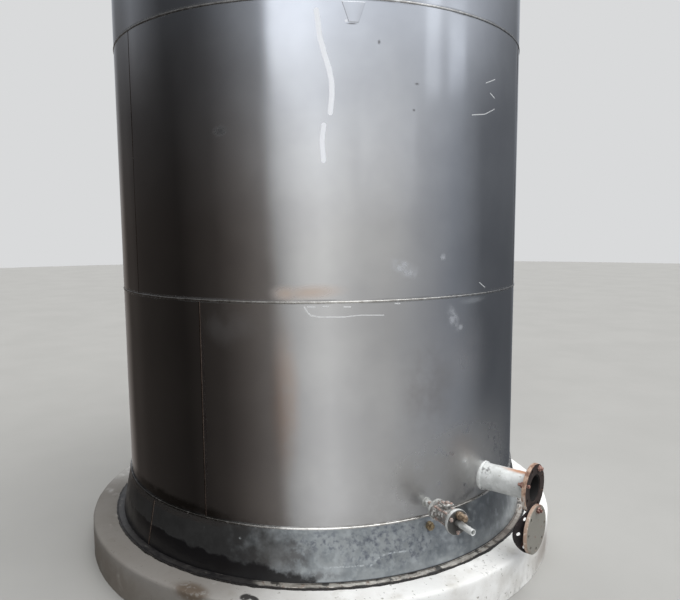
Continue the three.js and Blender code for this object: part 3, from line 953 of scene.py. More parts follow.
# Roof and fittings are the same steel, but dust settles on whatever lies flat.
DUSTY_SHEET = Finish(
    name="dusty_stainless_plate", colour="b4b6b9", second="a3a5a8", drift_mm=200,
    metallic=Metal.BARE, roughness=0.27, swing=0.05, grain_mm=2, grain_depth_mm=0.04,
    wave_mm=180, wave_depth_mm=0.5, layers=(
        Layer("8b857b", 60, (0.35, 0.62), 0.8, 0.1, cover=0.75, zones=(Lying(start=0.45),)),
        Layer("8a8783", 110, (0.42, 0.75), 0.4, 0.8, cover=0.45, drift=2),
    ))

# Turned shaft steel is bright and lightly lined.
SHAFT_STEEL = Finish(
    name="turned_stainless_bar", colour="bdbfc2", second="adb0b3", drift_mm=90, metallic=Metal.BARE,
    roughness=0.24, swing=0.04, grain_mm=1.2, grain_stretch=(1, 1, 0.3), grain_depth_mm=0.03)

# Weld metal freezes in ripples, bright where it was brushed and dark with oxide beside that.
WELD_METAL = Finish(
    name="brushed_weld_metal", colour="cbcac7", second="a3a09b", drift_mm=26, metallic=Metal.BARE,
    roughness=0.3, swing=0.08, grain_mm=5, grain_depth_mm=0.35, layers=(
        Layer("4a4541", 34, (0.58, 0.72), 0.45, 0.7, cover=0.3, drift=1),
        Layer("5f5c59", 30, (0.25, 0.5), 0.2, cover=0.92, drift=2.5,
            zones=(Spot(-97, 0.41, 0.68, 0.08, 0, 0.6), Spot(-97, 0.3, 0.03, 0.2, 0, 0.5))),
        Layer("f3f1ed", 26, (0.25, 0.55), 0.34, 0.8, cover=0.85, drift=3.1,
            zones=(Spot(-51.6, 0.412, 0.17, 0.05, 0, 0.6),)),
    ))

# Upright seams were ground flush before rolling, so only a dull line of them is left.
GROUND_SEAM = Finish(
    name="ground_weld_seam", colour="80726a", second="5d514b", drift_mm=60, metallic=Metal.BARE,
    roughness=0.26, swing=0.05, grain_mm=3, grain_depth_mm=0.06, layers=(
        Layer("c9c5c0", 14, (0.64, 0.7), 0.3, 0.9, cover=0.4, drift=0.7),))

# The flared band took splashes, tar and scrubbing, so its skin is mottled blue-grey and black.
# Its left half and the part under the nozzle are also darkened with painted shade.
TARRED_STEEL = Finish(
    name="tar_stained_stainless", colour="abb0b3", second="91979b", drift_mm=80, metallic=Metal.BARE,
    roughness=0.36, swing=0.08, grain_mm=4, grain_depth_mm=0.2, wave_mm=90, wave_depth_mm=1, layers=(
        Layer("b9bfc2", 28, (0.45, 0.65), 0.5, 0.5, cover=0.35, drift=0.7),
        Layer("454a5a", 22, (0.44, 0.7), 0.38, 0.5, cover=0.72, drift=1.9,
            zones=(Spot(-33, 0.33, 0.36, 0.14, 0, 0.4), Spot(-50, 0.36, 0.2, 0.08))),
        # Painted shade: darkens the band under the nozzle.
        Layer("3d4045", 50, (0.15, 0.5), 0.42, 0.5, cover=0.68, drift=2.3,
            zones=(Spot(2, 0.32, 0.32, 0.2, 0, 0.1),)),
        # Painted shade over tar staining: darkens the band's left half, away from the light.
        Layer("2a2725", 80, (0.1, 0.35), 0.34, 0.5, cover=0.9, drift=3.3,
            zones=(Spot(-100, 0.31, 0.97, 0.27, 0, 0.6, 0.3),)),
        Layer("3f3a37", 40, (0.4, 0.6), 0.5, 0.3, cover=0.6, drift=3.8,
            zones=(Spot(-55, 0.3, 0.1, 0.1, ragged=0.5), Spot(-52, 0.22, 0.2, 0.03, ragged=0.5))),
        Layer("4a4642", 60, (0.1, 0.4), 0.45, 0.4, cover=0.55, drift=4,
            zones=(Spot(-60.5, 0.3, 0.13, 0.1, 0, 0.1),)),
        Layer("100f11", 60, (0.22, 0.3), 0.28, 0, cover=0.98, raised_mm=1, drift=4.1,
            zones=(Belt(0.15, 0.196, 0.004), Spot(-108, 0.165, 1.22, 0.138, 0, 0.88, 0.22))),
        Layer("4a4745", 40, (0.2, 0.5), 0.25, cover=0.9, stretch=(3, 3, 1), drift=5.2,
            zones=(Spot(-100, 0.405, 0.78, 0.03, 0, 0.5, 0.3),)),
        Layer("c3c9cc", 9, (0.42, 0.58), 0.5, 0.1, cover=0.6, drift=6,
            zones=(*drawn(0.0045, (-39, 0.248), (-37.6, 0.27), (-35.9, 0.287), (-33, 0.291),
                          (-29.8, 0.285)),
                   *drawn(0.004, (-50, 0.256), (-40.5, 0.254)),
                   Spot(-68.5, 0.357, 0.008, 0.007, hardness=0.3))),
    ))

# Feet and tools rub the plate's rim bright between tar and dirt.
WORN_RIM = Finish(
    name="worn_stainless_rim", colour="cfcac2", second="a9a49c", drift_mm=30, metallic=Metal.OXIDISED,
    roughness=0.38, swing=0.08, grain_mm=3, grain_depth_mm=0.3, layers=(
        Layer("6b4f3f", 22, (0.55, 0.66), 0.7, 0.1, cover=0.7, drift=0.4),
        Layer("1a1918", 50, (0.35, 0.55), 0.5, 0, cover=0.85, drift=1.4,
            zones=(Hoop(1.147, 1.1545), Hoop(1.173, 1.18))),
        Layer("1a1918", 40, (0.56, 0.62), 0.5, 0, cover=0.9, stretch=(2, 2, 1), drift=1.8),
        Layer("6a615b", 60, (0.1, 0.4), 0.5, 0.2, cover=0.72, drift=2.6,
            zones=(Ball((1.15, 0.1, 0.19), (0.25, 0.32, 0.2)),)),
        Layer("171618", 60, (0.15, 0.4), 0.4, 0, cover=0.96, drift=2.2,
            zones=(Ball((0.15, -1.16, 0.19), (0.5, 0.25, 0.2), 0.8),
                   Ball((-0.75, -0.95, 0.19), (0.7, 0.75, 0.2), 0.8))),
    ))

# Old bitumen sealing the plate's edge has flowed, cracked and gone half dull.
BITUMEN = Finish(
    name="weathered_bitumen", colour="161515", second="242121", drift_mm=30, roughness=0.5,
    swing=0.15, grain_mm=6, grain_depth_mm=0.8, layers=(
        Layer("5a5148", 14, (0.6, 0.68), 0.8, None, cover=0.5, drift=0.8),))

# Lime wash over cast concrete is chalky and dead matt, and comes off in scabs.
# Its side and its left are also darkened with painted shade.
LIME_WASH = Finish(
    name="limewashed_concrete", colour="efefed", second="e2e1de", drift_mm=150, roughness=0.92,
    swing=0.04, grain_mm=5, grain_depth_mm=0.7, wave_mm=60, wave_depth_mm=1.5, layers=(
        Layer("c9c6bf", 90, (0.55, 0.75), cover=0.6, drift=0.6),
        Layer("8c877d", 26, (0.63, 0.7), cover=0.75, raised_mm=-0.8, drift=1.2),
        Layer("2f2b28", 11, (0.66, 0.7), 0.7, cover=0.85, stretch=(2, 1, 1), drift=1.9,
            zones=(Ball((1.05, -0.75, 0.18), (0.42, 0.42, 0.1)),)),
        # Greys the plinth's side below its rounded edge: partly stains, partly painted shade that keeps the
        # side darker than the top.
        Layer("9d968a", 120, (0.35, 0.65), cover=0.3, drift=3.1, zones=(Belt(-0.1, 0.15, 0.03),)),
        # Painted shade: darkens the plinth's left, away from the light.
        Layer("67615a", 170, (0.1, 0.4), cover=0.88, drift=3.3,
            zones=(Spot(-105, 0.15, 1.22, 0.6, 0, 0.45),)),
        # Painted shade with some brown staining on the plinth's side at the left.
        Layer("6f675e", 80, (0.2, 0.5), cover=0.8, drift=3.4,
            zones=(Ball((-0.35, -1.25, 0.06), (0.75, 0.45, 0.14)),)),
        Layer("665f55", 50, (0.45, 0.62), cover=0.35, drift=3.7, zones=(Belt(-0.1, 0.04, 0.04),)),
        # Painted shade: darkens the plinth's side at the far right.
        Layer("958e87", 120, (0.1, 0.4), cover=0.85, drift=4.8,
            zones=(Ball((1.3, 0.3, 0.06), (0.12, 0.36, 0.115)),)),
        Layer("50402f", 30, (0.3, 0.48), 0.8, cover=0.8, drift=2.5,
            zones=(Ball((0.33, -1.25, 0.18), (0.12, 0.075, 0.06), 0.4),)),
        Layer("1d1a19", 20, (0.25, 0.38), 0.7, cover=0.95, drift=4.4,
            zones=(Ball((0.545, -1.135, 0.18), (0.03, 0.03, 0.03), 0.6),
                   Ball((0.578, -1.12, 0.18), (0.035, 0.016, 0.03), 0.6))),
        Layer("4a4541", 18, (0.52, 0.64), 0.7, cover=0.55, drift=5.1,
            zones=(Ball((1.225, -0.3, 0.18), (0.07, 0.09, 0.03), 0.3),)),
    ))

# Aluminium paint has flake in it, so it is silvery but not a mirror. Rust bleeds through at edges.
# The nozzle's dark bore is painted shade.
SILVER_PAINT = Finish(
    name="aluminium_paint", colour="e4e6e5", second="cfd1cf", drift_mm=45,
    metallic=Metal.PAINT_WITH_FLAKE, roughness=0.5, swing=0.08, grain_mm=4, grain_depth_mm=0.25,
    wave_mm=30, wave_depth_mm=0.5, layers=(
        Layer("f2f4f3", 40, (0.5, 0.66), 0.6, 0.1, cover=0.55, drift=0.5),
        Layer("9a958a", 16, (0.64, 0.72), 0.7, 0.1, cover=0.6, drift=1.1),
        Layer("b98058", 26, (0.22, 0.46), 0.85, 0, cover=0.9, raised_mm=0.3, drift=1.8,
            zones=(Ball((1.285, -0.06, 0.574), (0.13, 0.035, 0.018), 0.3),
                   Ball((1.325, -0.075, 0.555), (0.022, 0.06, 0.04), 0.3))),
        # Dark specks where the nozzle pipe meets the shell: partly dirt, partly painted shade.
        Layer("4a4a4b", 14, (0.5, 0.62), 0.7, 0, cover=0.8, drift=2.6,
            zones=(Ball((1.12, -0.09, 0.545), (0.05, 0.04, 0.03), 0.3),
                   Ball((1.1, -0.06, 0.452), (0.03, 0.08, 0.03), 0.3))),
        # Painted shade: near black inside the nozzle's bore and on its end, where the opening is dark.
        Layer("141212", 60, (0, 0.1), 0.8, 0, drift=3.1,
            zones=(Ball((1.2, -0.06, 0.506), (0.9, 0.0613, 0.0613), 0.96),
                   Ball((1.365, -0.06, 0.506), (0.036, 0.2, 0.2), 0.8))),
        # Darker round the outlet pipe where it leaves the valve's disc.
        Layer("4b4844", 30, (0.2, 0.5), 0.7, 0.1, cover=0.8, drift=3.9,
            zones=(Ball((1.2125, -0.5424, 0.474), (0.035, 0.03, 0.04), 0.5),)),
    ))

# Rust grows in scales: pale orange bloom on edges, near black where it stays wet.
RUSTED_FLANGE = Finish(
    name="rusted_carbon_steel", colour="8a6654", second="664a3c", drift_mm=30, roughness=0.85,
    swing=0.08, grain_mm=3, grain_depth_mm=0.4, layers=(
        Layer("c8ad99", 30, (0.34, 0.58), 0.8, cover=0.8, raised_mm=0.3, drift=0.5),
        Layer("d6d2cc", 26, (0.45, 0.6), 0.6, 0.3, cover=0.75, drift=1.2,
            zones=(Ball((1.34, -0.16, 0.46), (0.05, 0.06, 0.09), 0.3),)),
        Layer("241b1a", 40, (0.05, 0.3), 0.75, cover=0.96, drift=1.9,
            zones=(Lying((1, 0, 0), 0.7), Ball((1.35, -0.06, 0.506), (0.06, 0.104, 0.104), 0.97))),
    ))

# The hanging plate was painted once: grey skin on its face, rust where the rim was knocked.
HANGING_PLATE = Finish(
    name="flaked_grey_paint_on_steel", colour="8d8a81", second="7e7b72", drift_mm=50,
    roughness=0.62, swing=0.1, metallic=Metal.NONE, grain_mm=3, grain_depth_mm=0.3, layers=(
        Layer("bfa08d", 20, (0.24, 0.52), 0.85, cover=0.85, drift=1.5,
            zones=(Lying((-0.2, -0.98, 0), 0.15), Lying((-0.2, 0, 0.98), 0.3))),
        Layer("dccfc2", 16, (0.5, 0.64), 0.7, cover=0.7, drift=2.1, zones=(Lying((0, -0.95, 0.2), 0.2),)),
        Layer("85827a", 60, (0, 0.1), 0.65,
            zones=(Ball((1.368, -0.0956, 0.326), (0.06, 0.105, 0.105), 0.96),)),
        Layer("7b5346", 30, (0.62, 0.7), 0.85, cover=0.7, drift=0.9),
        Layer("7d5346", 24, (0.35, 0.6), 0.85, cover=0.75, drift=1.2,
            zones=(Ball((1.37, -0.075, 0.43), (0.02, 0.06, 0.05), 0.2),)),
    ))

# Bolts turn pinkish red brown and keep a little shine on their corners.
RUSTED_BOLT = Finish(
    name="rusted_bolt_steel", colour="93695d", second="6f4c43", drift_mm=9, roughness=0.7,
    swing=0.1, grain_mm=1.5, grain_depth_mm=0.25, layers=(
        Layer("c9a79b", 7, (0.48, 0.6), 0.75, cover=0.8, drift=0.6),
        Layer("3a2824", 6, (0.58, 0.66), 0.8, cover=0.8, drift=1.3)))

# The bolt that the blind hangs from stays wet longest, so its rust is dark.
WET_BOLT = replace(RUSTED_BOLT, name="dark_rusted_bolt_steel", colour="6e4238", second="4e2c26")

# The valve's studs are only lightly rusted under old grey paint.
DULL_STUD = replace(RUSTED_BOLT, name="painted_stud_steel", colour="a89d96", second="837771")

# The small valve was painted longest ago, so its coat is grey.
AGED_PAINT = replace(SILVER_PAINT, name="greyed_aluminium_paint", colour="bdbebb", second="a3a4a1")

# The valve's outlet flange is pale round its rim, and its open face, which looks out along the valve, is
# darkened to near black.
DARK_FACED_PAINT = replace(
    AGED_PAINT, name="dark_faced_aluminium_paint", colour="d0d1ce", layers=SILVER_PAINT.layers + (
        Layer("2a2724", 24, (0.05, 0.35), 0.6, 0, cover=0.94, drift=4.4,
            zones=(Lying((0.913, -0.408, 0), 0.9),)),))

# The valve's casting lost its plating: grey scale, white deposit and some rust.
SCALED_CASTING = Finish(
    name="scaled_steel_casting", colour="969591", second="7b7976", drift_mm=30,
    metallic=Metal.PAINT_WITH_FLAKE, roughness=0.55, swing=0.1, grain_mm=1.8, grain_depth_mm=0.25,
    layers=(
        Layer("d7d6d2", 12, (0.5, 0.6), 0.7, 0, cover=0.8, drift=0.4),
        Layer("73554a", 10, (0.56, 0.63), 0.85, 0, cover=0.75, drift=1.1),
        Layer("2b2826", 10, (0.58, 0.66), 0.7, 0, cover=0.8, drift=1.8)))

# Cast bronze darkens brown and holds dirt in its corners.
BRONZE = Finish(
    name="tarnished_cast_bronze", colour="a3917d", second="7b6753", drift_mm=9, metallic=Metal.OXIDISED,
    roughness=0.5, swing=0.1, grain_mm=1, grain_depth_mm=0.12, layers=(
        Layer("3b3226", 8, (0.54, 0.64), 0.7, 0.1, cover=0.8, drift=0.6),
        Layer("c9b49a", 6, (0.58, 0.66), 0.4, 0.8, cover=0.7, drift=1.4)))

# Free-cutting brass stays yellow under a dull film.
BRASS = Finish(
    name="dull_turned_brass", colour="a59372", second="7f6f55", drift_mm=10, metallic=Metal.OXIDISED,
    roughness=0.42, swing=0.1, grain_mm=1, grain_depth_mm=0.1, layers=(
        Layer("4b3a2a", 8, (0.5, 0.62), 0.7, 0.1, cover=0.8, drift=0.5),))

# Perished rubber is dull, dark and slightly red with rust off the bolts.
PERISHED_RUBBER = Finish(
    name="perished_black_rubber", colour="2b2224", second="211c1d", drift_mm=35, roughness=0.75,
    swing=0.1, grain_mm=2, grain_depth_mm=0.15, layers=(
        Layer("54312b", 24, (0.55, 0.68), 0.85, cover=0.7, drift=0.9),
        Layer("7d7671", 10, (0.63, 0.7), 0.9, cover=0.5, drift=1.7)))

# Rolled channel under grey oil paint: brush-flat, dusty on top, chipped to rust at edges.
GREY_PAINT = Finish(
    name="grey_oil_paint_on_steel", colour="7f8386", second="74787b", drift_mm=160, roughness=0.5,
    swing=0.06, grain_mm=2.5, grain_depth_mm=0.12, layers=(
        Layer("a39d92", 80, (0.35, 0.62), 0.85, cover=0.6, drift=0.7, zones=(Lying(start=0.5),)),
        Layer("6b4533", 14, (0.645, 0.69), 0.85, cover=0.85, raised_mm=0.2, drift=1.6)))

# Machinery enamel is glossy and rounded over the casting, with oil-held dust on top.
BLUE_ENAMEL = Finish(
    name="machinery_enamel", colour="5a6b78", second="52626e", drift_mm=120, roughness=0.32,
    swing=0.06, grain_mm=2.2, grain_depth_mm=0.12, wave_mm=25, wave_depth_mm=0.25, layers=(
        Layer("938d82", 45, (0.35, 0.6), 0.8, cover=0.6, drift=0.8, zones=(Lying(start=0.5),)),
        Layer("39424a", 30, (0.6, 0.7), 0.3, cover=0.5, drift=1.7),
        Layer("6b4533", 8, (0.66, 0.7), 0.85, cover=0.8, drift=2.4)))

# The fan cowl is pressed sheet under black stove enamel.
BLACK_ENAMEL = Finish(
    name="black_stove_enamel", colour="2a2c2e", second="232527", drift_mm=90, roughness=0.4,
    swing=0.06, grain_mm=1.6, grain_depth_mm=0.06, layers=(
        Layer("8d877d", 40, (0.35, 0.6), 0.85, cover=0.6, drift=0.8, zones=(Lying(start=0.5),)),))

# Zinc plate on the drive's bolts is bluish grey and fine grained.
ZINC_PLATE = Finish(
    name="zinc_plated_bolt_steel", colour="b7bbbd", second="9da2a5", drift_mm=12, metallic=Metal.BARE,
    roughness=0.35, swing=0.08, grain_mm=0.8, grain_depth_mm=0.04, layers=(
        Layer("d8d8d4", 8, (0.58, 0.68), 0.7, 0.1, cover=0.5, drift=0.6),))


# Studio


@dataclass(frozen=True)
class SkyRing:
    """Light round the tank in one zone of heights."""

    levels: tuple[Pair, ...]  # azimuths with the level there
    start: float = -90.0  # elevation above which it takes over from the ring below
    full: float = -80.0  # elevation from which only it counts


# The light is bright in front and to the right, and dark to the left.
HORIZON = SkyRing((
    (-180, 0.05), (-170, 0.034), (-132, 0.019), (-108, 0.046), (-100, 0.076), (-91, 0.12), (-80, 0.19),
    (-77.5, 0.26), (-74, 0.41), (-68, 0.585), (-60, 0.75), (-50, 0.85), (-40, 0.74), (-30, 0.63), (-8, 0.53),
    (3, 0.46), (22, 0.37), (32, 0.3), (49, 0.155), (95, 0.12), (125, 0.42), (150, 0.3), (170, 0.05)))
ALOFT = SkyRing((
    (-180, 0.09), (-165, 0.14), (-149, 0.075), (-136, 0.035), (-116, 0.042), (-107, 0.063), (-98, 0.105),
    (-84, 0.19), (-77, 0.24), (-74.6, 0.34), (-72, 0.7), (-69, 0.84), (-58, 0.88), (-36, 0.68), (-7, 0.53),
    (17, 0.5), (30, 0.47), (46, 0.36), (72, 0.2), (95, 0.13), (125, 0.42), (150, 0.3), (170, 0.1)),
    start=8.0, full=17.0)
OVERHEAD = SkyRing((
    (-180, 0.1), (-85, 0.12), (-70, 0.18), (-50, 0.66), (-30, 0.9), (30, 0.94), (90, 0.6), (140, 0.3)),
    start=26.0, full=60.0)


@dataclass(frozen=True)
class SkyPatch:
    """A patch of sky with clear edges that is brighter than what is round it."""

    azimuths: Pair
    rises: Pair  # elevations of its foot and top
    lift: float  # how much brighter it is
    soft: float = 0.6  # degrees over which its edges fade


SKY_PATCHES = (SkyPatch((8.7, 17.0), (11.6, 30.0), 0.2), SkyPatch((23.0, 35.0), (12.0, 17.5), 0.22, 1.5),
               SkyPatch((-28.0, 2.5), (3.5, 10.5), 0.06, 1.2))


@dataclass
class Studio:
    """Camera, light and floor."""

    lens_mm: float = 33.715
    eye_distance: float = 3.735
    eye_azimuth: float = -49.3
    eye_height: float = 1.709
    pitch: float = 6.407  # down
    yaw: float = 1.738  # to the right
    roll: float = -0.391
    floor_radius: float = 30.0
    bright: float = 1.55
    backdrop: str = "d9dadb"  # what the camera sees behind the tank
    dim_tint: str = "ffeee2"  # where little light comes from low down
    lit_tint: str = "fffefb"  # where much does
    shady_tint: str = "e4eaf4"  # low down on the side away from the light
    shady_side: Pair = (8.0, 140.0)  # its azimuths
    high_tint: str = "eff5ff"
    zenith_tint: str = "fefefd"
    rings: tuple[SkyRing, ...] = (HORIZON, ALOFT, OVERHEAD)
    # Elevations with how much brighter the sky is there
    gains: tuple[Pair, ...] = (
        (-90, 0.5), (-25, 0.62), (-9, 0.6), (-2, 0.67), (7, 0.88), (14, 0.92), (19, 1.22), (30, 1.25),
        (60, 2.95))
    patches: tuple[SkyPatch, ...] = SKY_PATCHES

    def build(self) -> None:
        """Make everything that isn't the tank."""
        self._camera()
        self._floor()
        self._sky()
        bpy.context.scene.view_settings.view_transform = "Standard"
        log.info("studio: camera, floor and sky")

    def _camera(self) -> None:
        """Stand the camera where the photographer stood."""
        eye = around(self.eye_distance, self.eye_azimuth, self.eye_height)
        ahead = Vector((-eye.x, -eye.y, 0)).normalized()
        right = Vector((ahead.y, -ahead.x, 0))
        yaw, pitch, roll = (math.radians(a) for a in (self.yaw, self.pitch, self.roll))
        level = ahead * math.cos(yaw) + right * math.sin(yaw)
        across = right * math.cos(yaw) - ahead * math.sin(yaw)
        forward = level * math.cos(pitch) - Vector((0, 0, math.sin(pitch)))
        over = across.cross(forward)
        side = across * math.cos(roll) + over * math.sin(roll)
        top = over * math.cos(roll) - across * math.sin(roll)
        aim = Matrix((side, top, -forward)).transposed().to_4x4()
        lens = bpy.data.cameras.new("camera")
        lens.lens = self.lens_mm
        lens.sensor_width = 36.0
        lens.clip_end = 200.0
        camera = bpy.data.objects.new("camera", lens)
        camera.matrix_world = shift(*eye) @ aim
        bpy.context.collection.objects.link(camera)
        bpy.context.scene.camera = camera

    def _floor(self) -> None:
        """Lay a plain floor that steel doesn't mirror."""
        floor = disc("floor", self.floor_radius, (0, 0, -0.2 * MM), 96)
        screed = Finish(name="pale_floor_screed", colour="a9a8a5", second="a5a4a1", drift_mm=900,
                        roughness=0.9, swing=0.02, grain_depth_mm=0.0)
        floor.data.materials.append(screed.material())
        floor.visible_glossy = False

    def _sky(self) -> None:
        """Light the tank with a soft sky that has a bright and a dark side.

        Each ring is a row of soft steps round the tank, and the sky's gain changes with elevation.
        The rings lean a little, so that reflections in the shell do.
        """
        world = bpy.data.worlds.new("studio_sky")
        bpy.context.scene.world = world
        world.use_nodes = True
        sky = Graph(world.node_tree)
        x, y, z = sky.add("SeparateXYZ", (sky.add("TexCoord", output="Generated"),), None).outputs
        rise = sky.add("Math", (sky.add("Math", (z,), operation="ARCSINE"), math.degrees(1)),
                       operation="MULTIPLY")
        turned = sky.add("Math", (sky.add("Math", (y, x), operation="ARCTAN2"), math.degrees(1)),
                         operation="MULTIPLY")
        lean = sky.add("MapRange", (rise, -30.0, 30.0, -8.0, 5.0))
        leant = sky.add("Math", (turned, lean), operation="ADD")
        round_share = sky.add("MapRange", (leant, -180.0, 180.0))
        level = None
        for zone in self.rings:
            stops = tuple(((azimuth + 180) / 360, light) for azimuth, light in zone.levels)
            band = sky.add("ValToRGB", (round_share,), stops=stops)
            share = sky.add("MapRange", (rise, zone.start, zone.full), **SMOOTH)
            level = sky.add("Mix", {0: share, 2: level, 3: band}) if level else band
        for patch in self.patches:
            area = sky.add("Math", (sky.between(turned, *patch.azimuths, patch.soft),
                                    sky.between(rise, *patch.rises, patch.soft)), operation="MULTIPLY")
            level = sky.add("Math", (area, patch.lift, level), operation="MULTIPLY_ADD")
        most = max(gain for _, gain in self.gains)
        stops = tuple(((height + 90) / 180, gain / most) for height, gain in self.gains)
        gain = sky.add("ValToRGB", (sky.add("MapRange", (rise, -90.0, 90.0)),), stops=stops)
        whole = sky.add("Math", (sky.add("Math", (level, gain), operation="MULTIPLY"), most),
                        operation="MULTIPLY")
        shade = sky.add("MapRange", (whole, 0.02, 0.3))
        warm = sky.add("Mix", {0: shade, 6: linear(self.dim_tint), 7: linear(self.lit_tint)}, 2,
                       data_type="RGBA")
        shady = sky.between(turned, *self.shady_side, 20.0)
        low_down = sky.add("Mix", {0: shady, 6: warm, 7: linear(self.shady_tint)}, 2, data_type="RGBA")
        high_up = sky.add("MapRange", (rise, 0.0, 20.0))
        cool = sky.add("ValToRGB", (sky.add("MapRange", (rise, 0.0, 90.0)),),
                       stops=((0.25, linear(self.high_tint)), (0.5, linear(self.zenith_tint))))
        tone = sky.add("Mix", {0: high_up, 6: low_down, 7: cool}, 2, data_type="RGBA")
        strength = sky.add("Math", (whole, self.bright), operation="MULTIPLY")
        light = sky.add("Background", (tone, strength))
        plain = sky.add("Background", (linear(self.backdrop), 1.0))
        seen = sky.add("LightPath", output="Is Camera Ray")
        sky.add("OutputWorld", (sky.add("MixShader", (seen, light, plain)),), None)


# The tank, from the ground up


@dataclass
class Plinth:
    """Round concrete plinth with a worn, limewashed skin."""

    radius: float = 1.306
    height: float = 0.182
    edge: float = 0.016
    lump: float = 0.07  # size and depth of the lumps in its skin
    depth: float = 0.0035

    def build(self) -> None:
        """Model the plinth and dress it."""
        side = [(self.radius, self.height * share / 6) for share in range(6)]
        inner, shoulder = self.radius - self.edge, self.height - self.edge
        round_off = [(inner + self.edge * math.cos(a), shoulder + self.edge * math.sin(a))
                     for a in (0.0, 0.5, 1.0, math.pi / 2)]
        top = [(inner - 0.022 * step, self.height) for step in range(1, 9)]
        plinth = turn("limewashed_plinth", side + round_off + top, sides=360)
        roughen(plinth, self.lump, self.depth, outward=0.0)
        present(plinth, LIME_WASH, "whitewashed_concrete", "concrete_plinth", angle=50)


@dataclass
class FloorRim:
    """Floor plate whose rim stands out past the band, and the tar that seals it."""

    radius: float = 1.176
    inner: float = 1.06  # where the visible ring begins
    tar_width: float = 0.016
    tar_height: float = 0.006

    def build(self) -> None:
        """Model the plate and the tar."""
        low, high = span("floor_plate")
        rim = 0.0015
        outline = edged(self.radius, low, high, rim) + [
            (self.radius - 0.012, high), (self.radius - 0.026, high), (self.inner, high)]
        plate = turn("rubbed_floor_plate", outline, sides=480)
        roughen(plate, 0.045, 0.0022)
        present(plate, WORN_RIM, "stained_stainless", "floor_plate")

        edge = self.radius + self.tar_width / 2
        tar = ring("bitumen_seal", self.radius - 0.03, edge, PLINTH_TOP - 0.004,
                   PLINTH_TOP + self.tar_height - 0.001, sides=720, rows=2)
        roughen(tar, 0.05, 0.014)
        roughen(tar, 0.012, 0.004)
        present(tar, BITUMEN, "stained_stainless", angle=60)


@dataclass
class BaseBand:
    """Flared band round the foot of the shell, in three lengths."""

    top_radius: float = 1.1025
    foot_radius: float = 1.145
    thick: float = 0.0055
    seam: float = -97.0  # azimuth of its first upright seam
    lengths: int = 3

    def build(self) -> None:
        """Model each length and its upright seams."""
        sweep = 360 / self.lengths
        for i in range(self.lengths):
            node = f"base_band_{i + 1}"
            low, high = span(node)
            band = ring(f"flared_band_{i + 1}", self.top_radius - self.thick, self.top_radius, low, high,
                        sides=120, start=self.seam + i * sweep + 0.02, sweep=sweep - 0.04, rows=10,
                        flare=self.foot_radius - self.top_radius)
            roughen(band, 0.11, 0.0035)
            present(band, TARRED_STEEL, "stained_stainless", node)
            self._seam(i, self.seam + i * sweep, low, high)

    def _seam(self, index: int, azimuth: float, low: float, high: float) -> None:
        """Lay an upright weld down the flare.

        Args:
            index: the seam's number.
            azimuth: where it runs.
            low: its lower end.
            high: its upper end.
        """
        reach = self.foot_radius - self.top_radius
        bead = weld_rod(f"band_seam_weld_{index + 1}", high - low - 0.01, 0.004)
        lean = Matrix.Rotation(-math.atan2(reach, high - low), 4, "Y")
        stand = shift(*around(self.foot_radius, azimuth, low + 0.004))
        present(bead, GROUND_SEAM, "stained_stainless", angle=70, place=stand @ swung(azimuth) @ lean)


def weld_rod(name: str, length: float, half_width: float, proud: float = 0.6) -> Piece:
    """Model an upright weld bead standing on the origin.

    Args:
        name: its name.
        length: its length.
        half_width: half its width.
        proud: how far it stands out, as a share of that.

    Returns:
        The bead, not yet placed.
    """
    bead = post(name, half_width, length, length / 2, 10)
    bead.scale.x = proud
    settle(bead)
    with shaping(bead):
        slice_up(0.0, length, int(length / (0.9 * half_width)))
    roughen(bead, 0.008, half_width * proud * 0.5)
    return bead


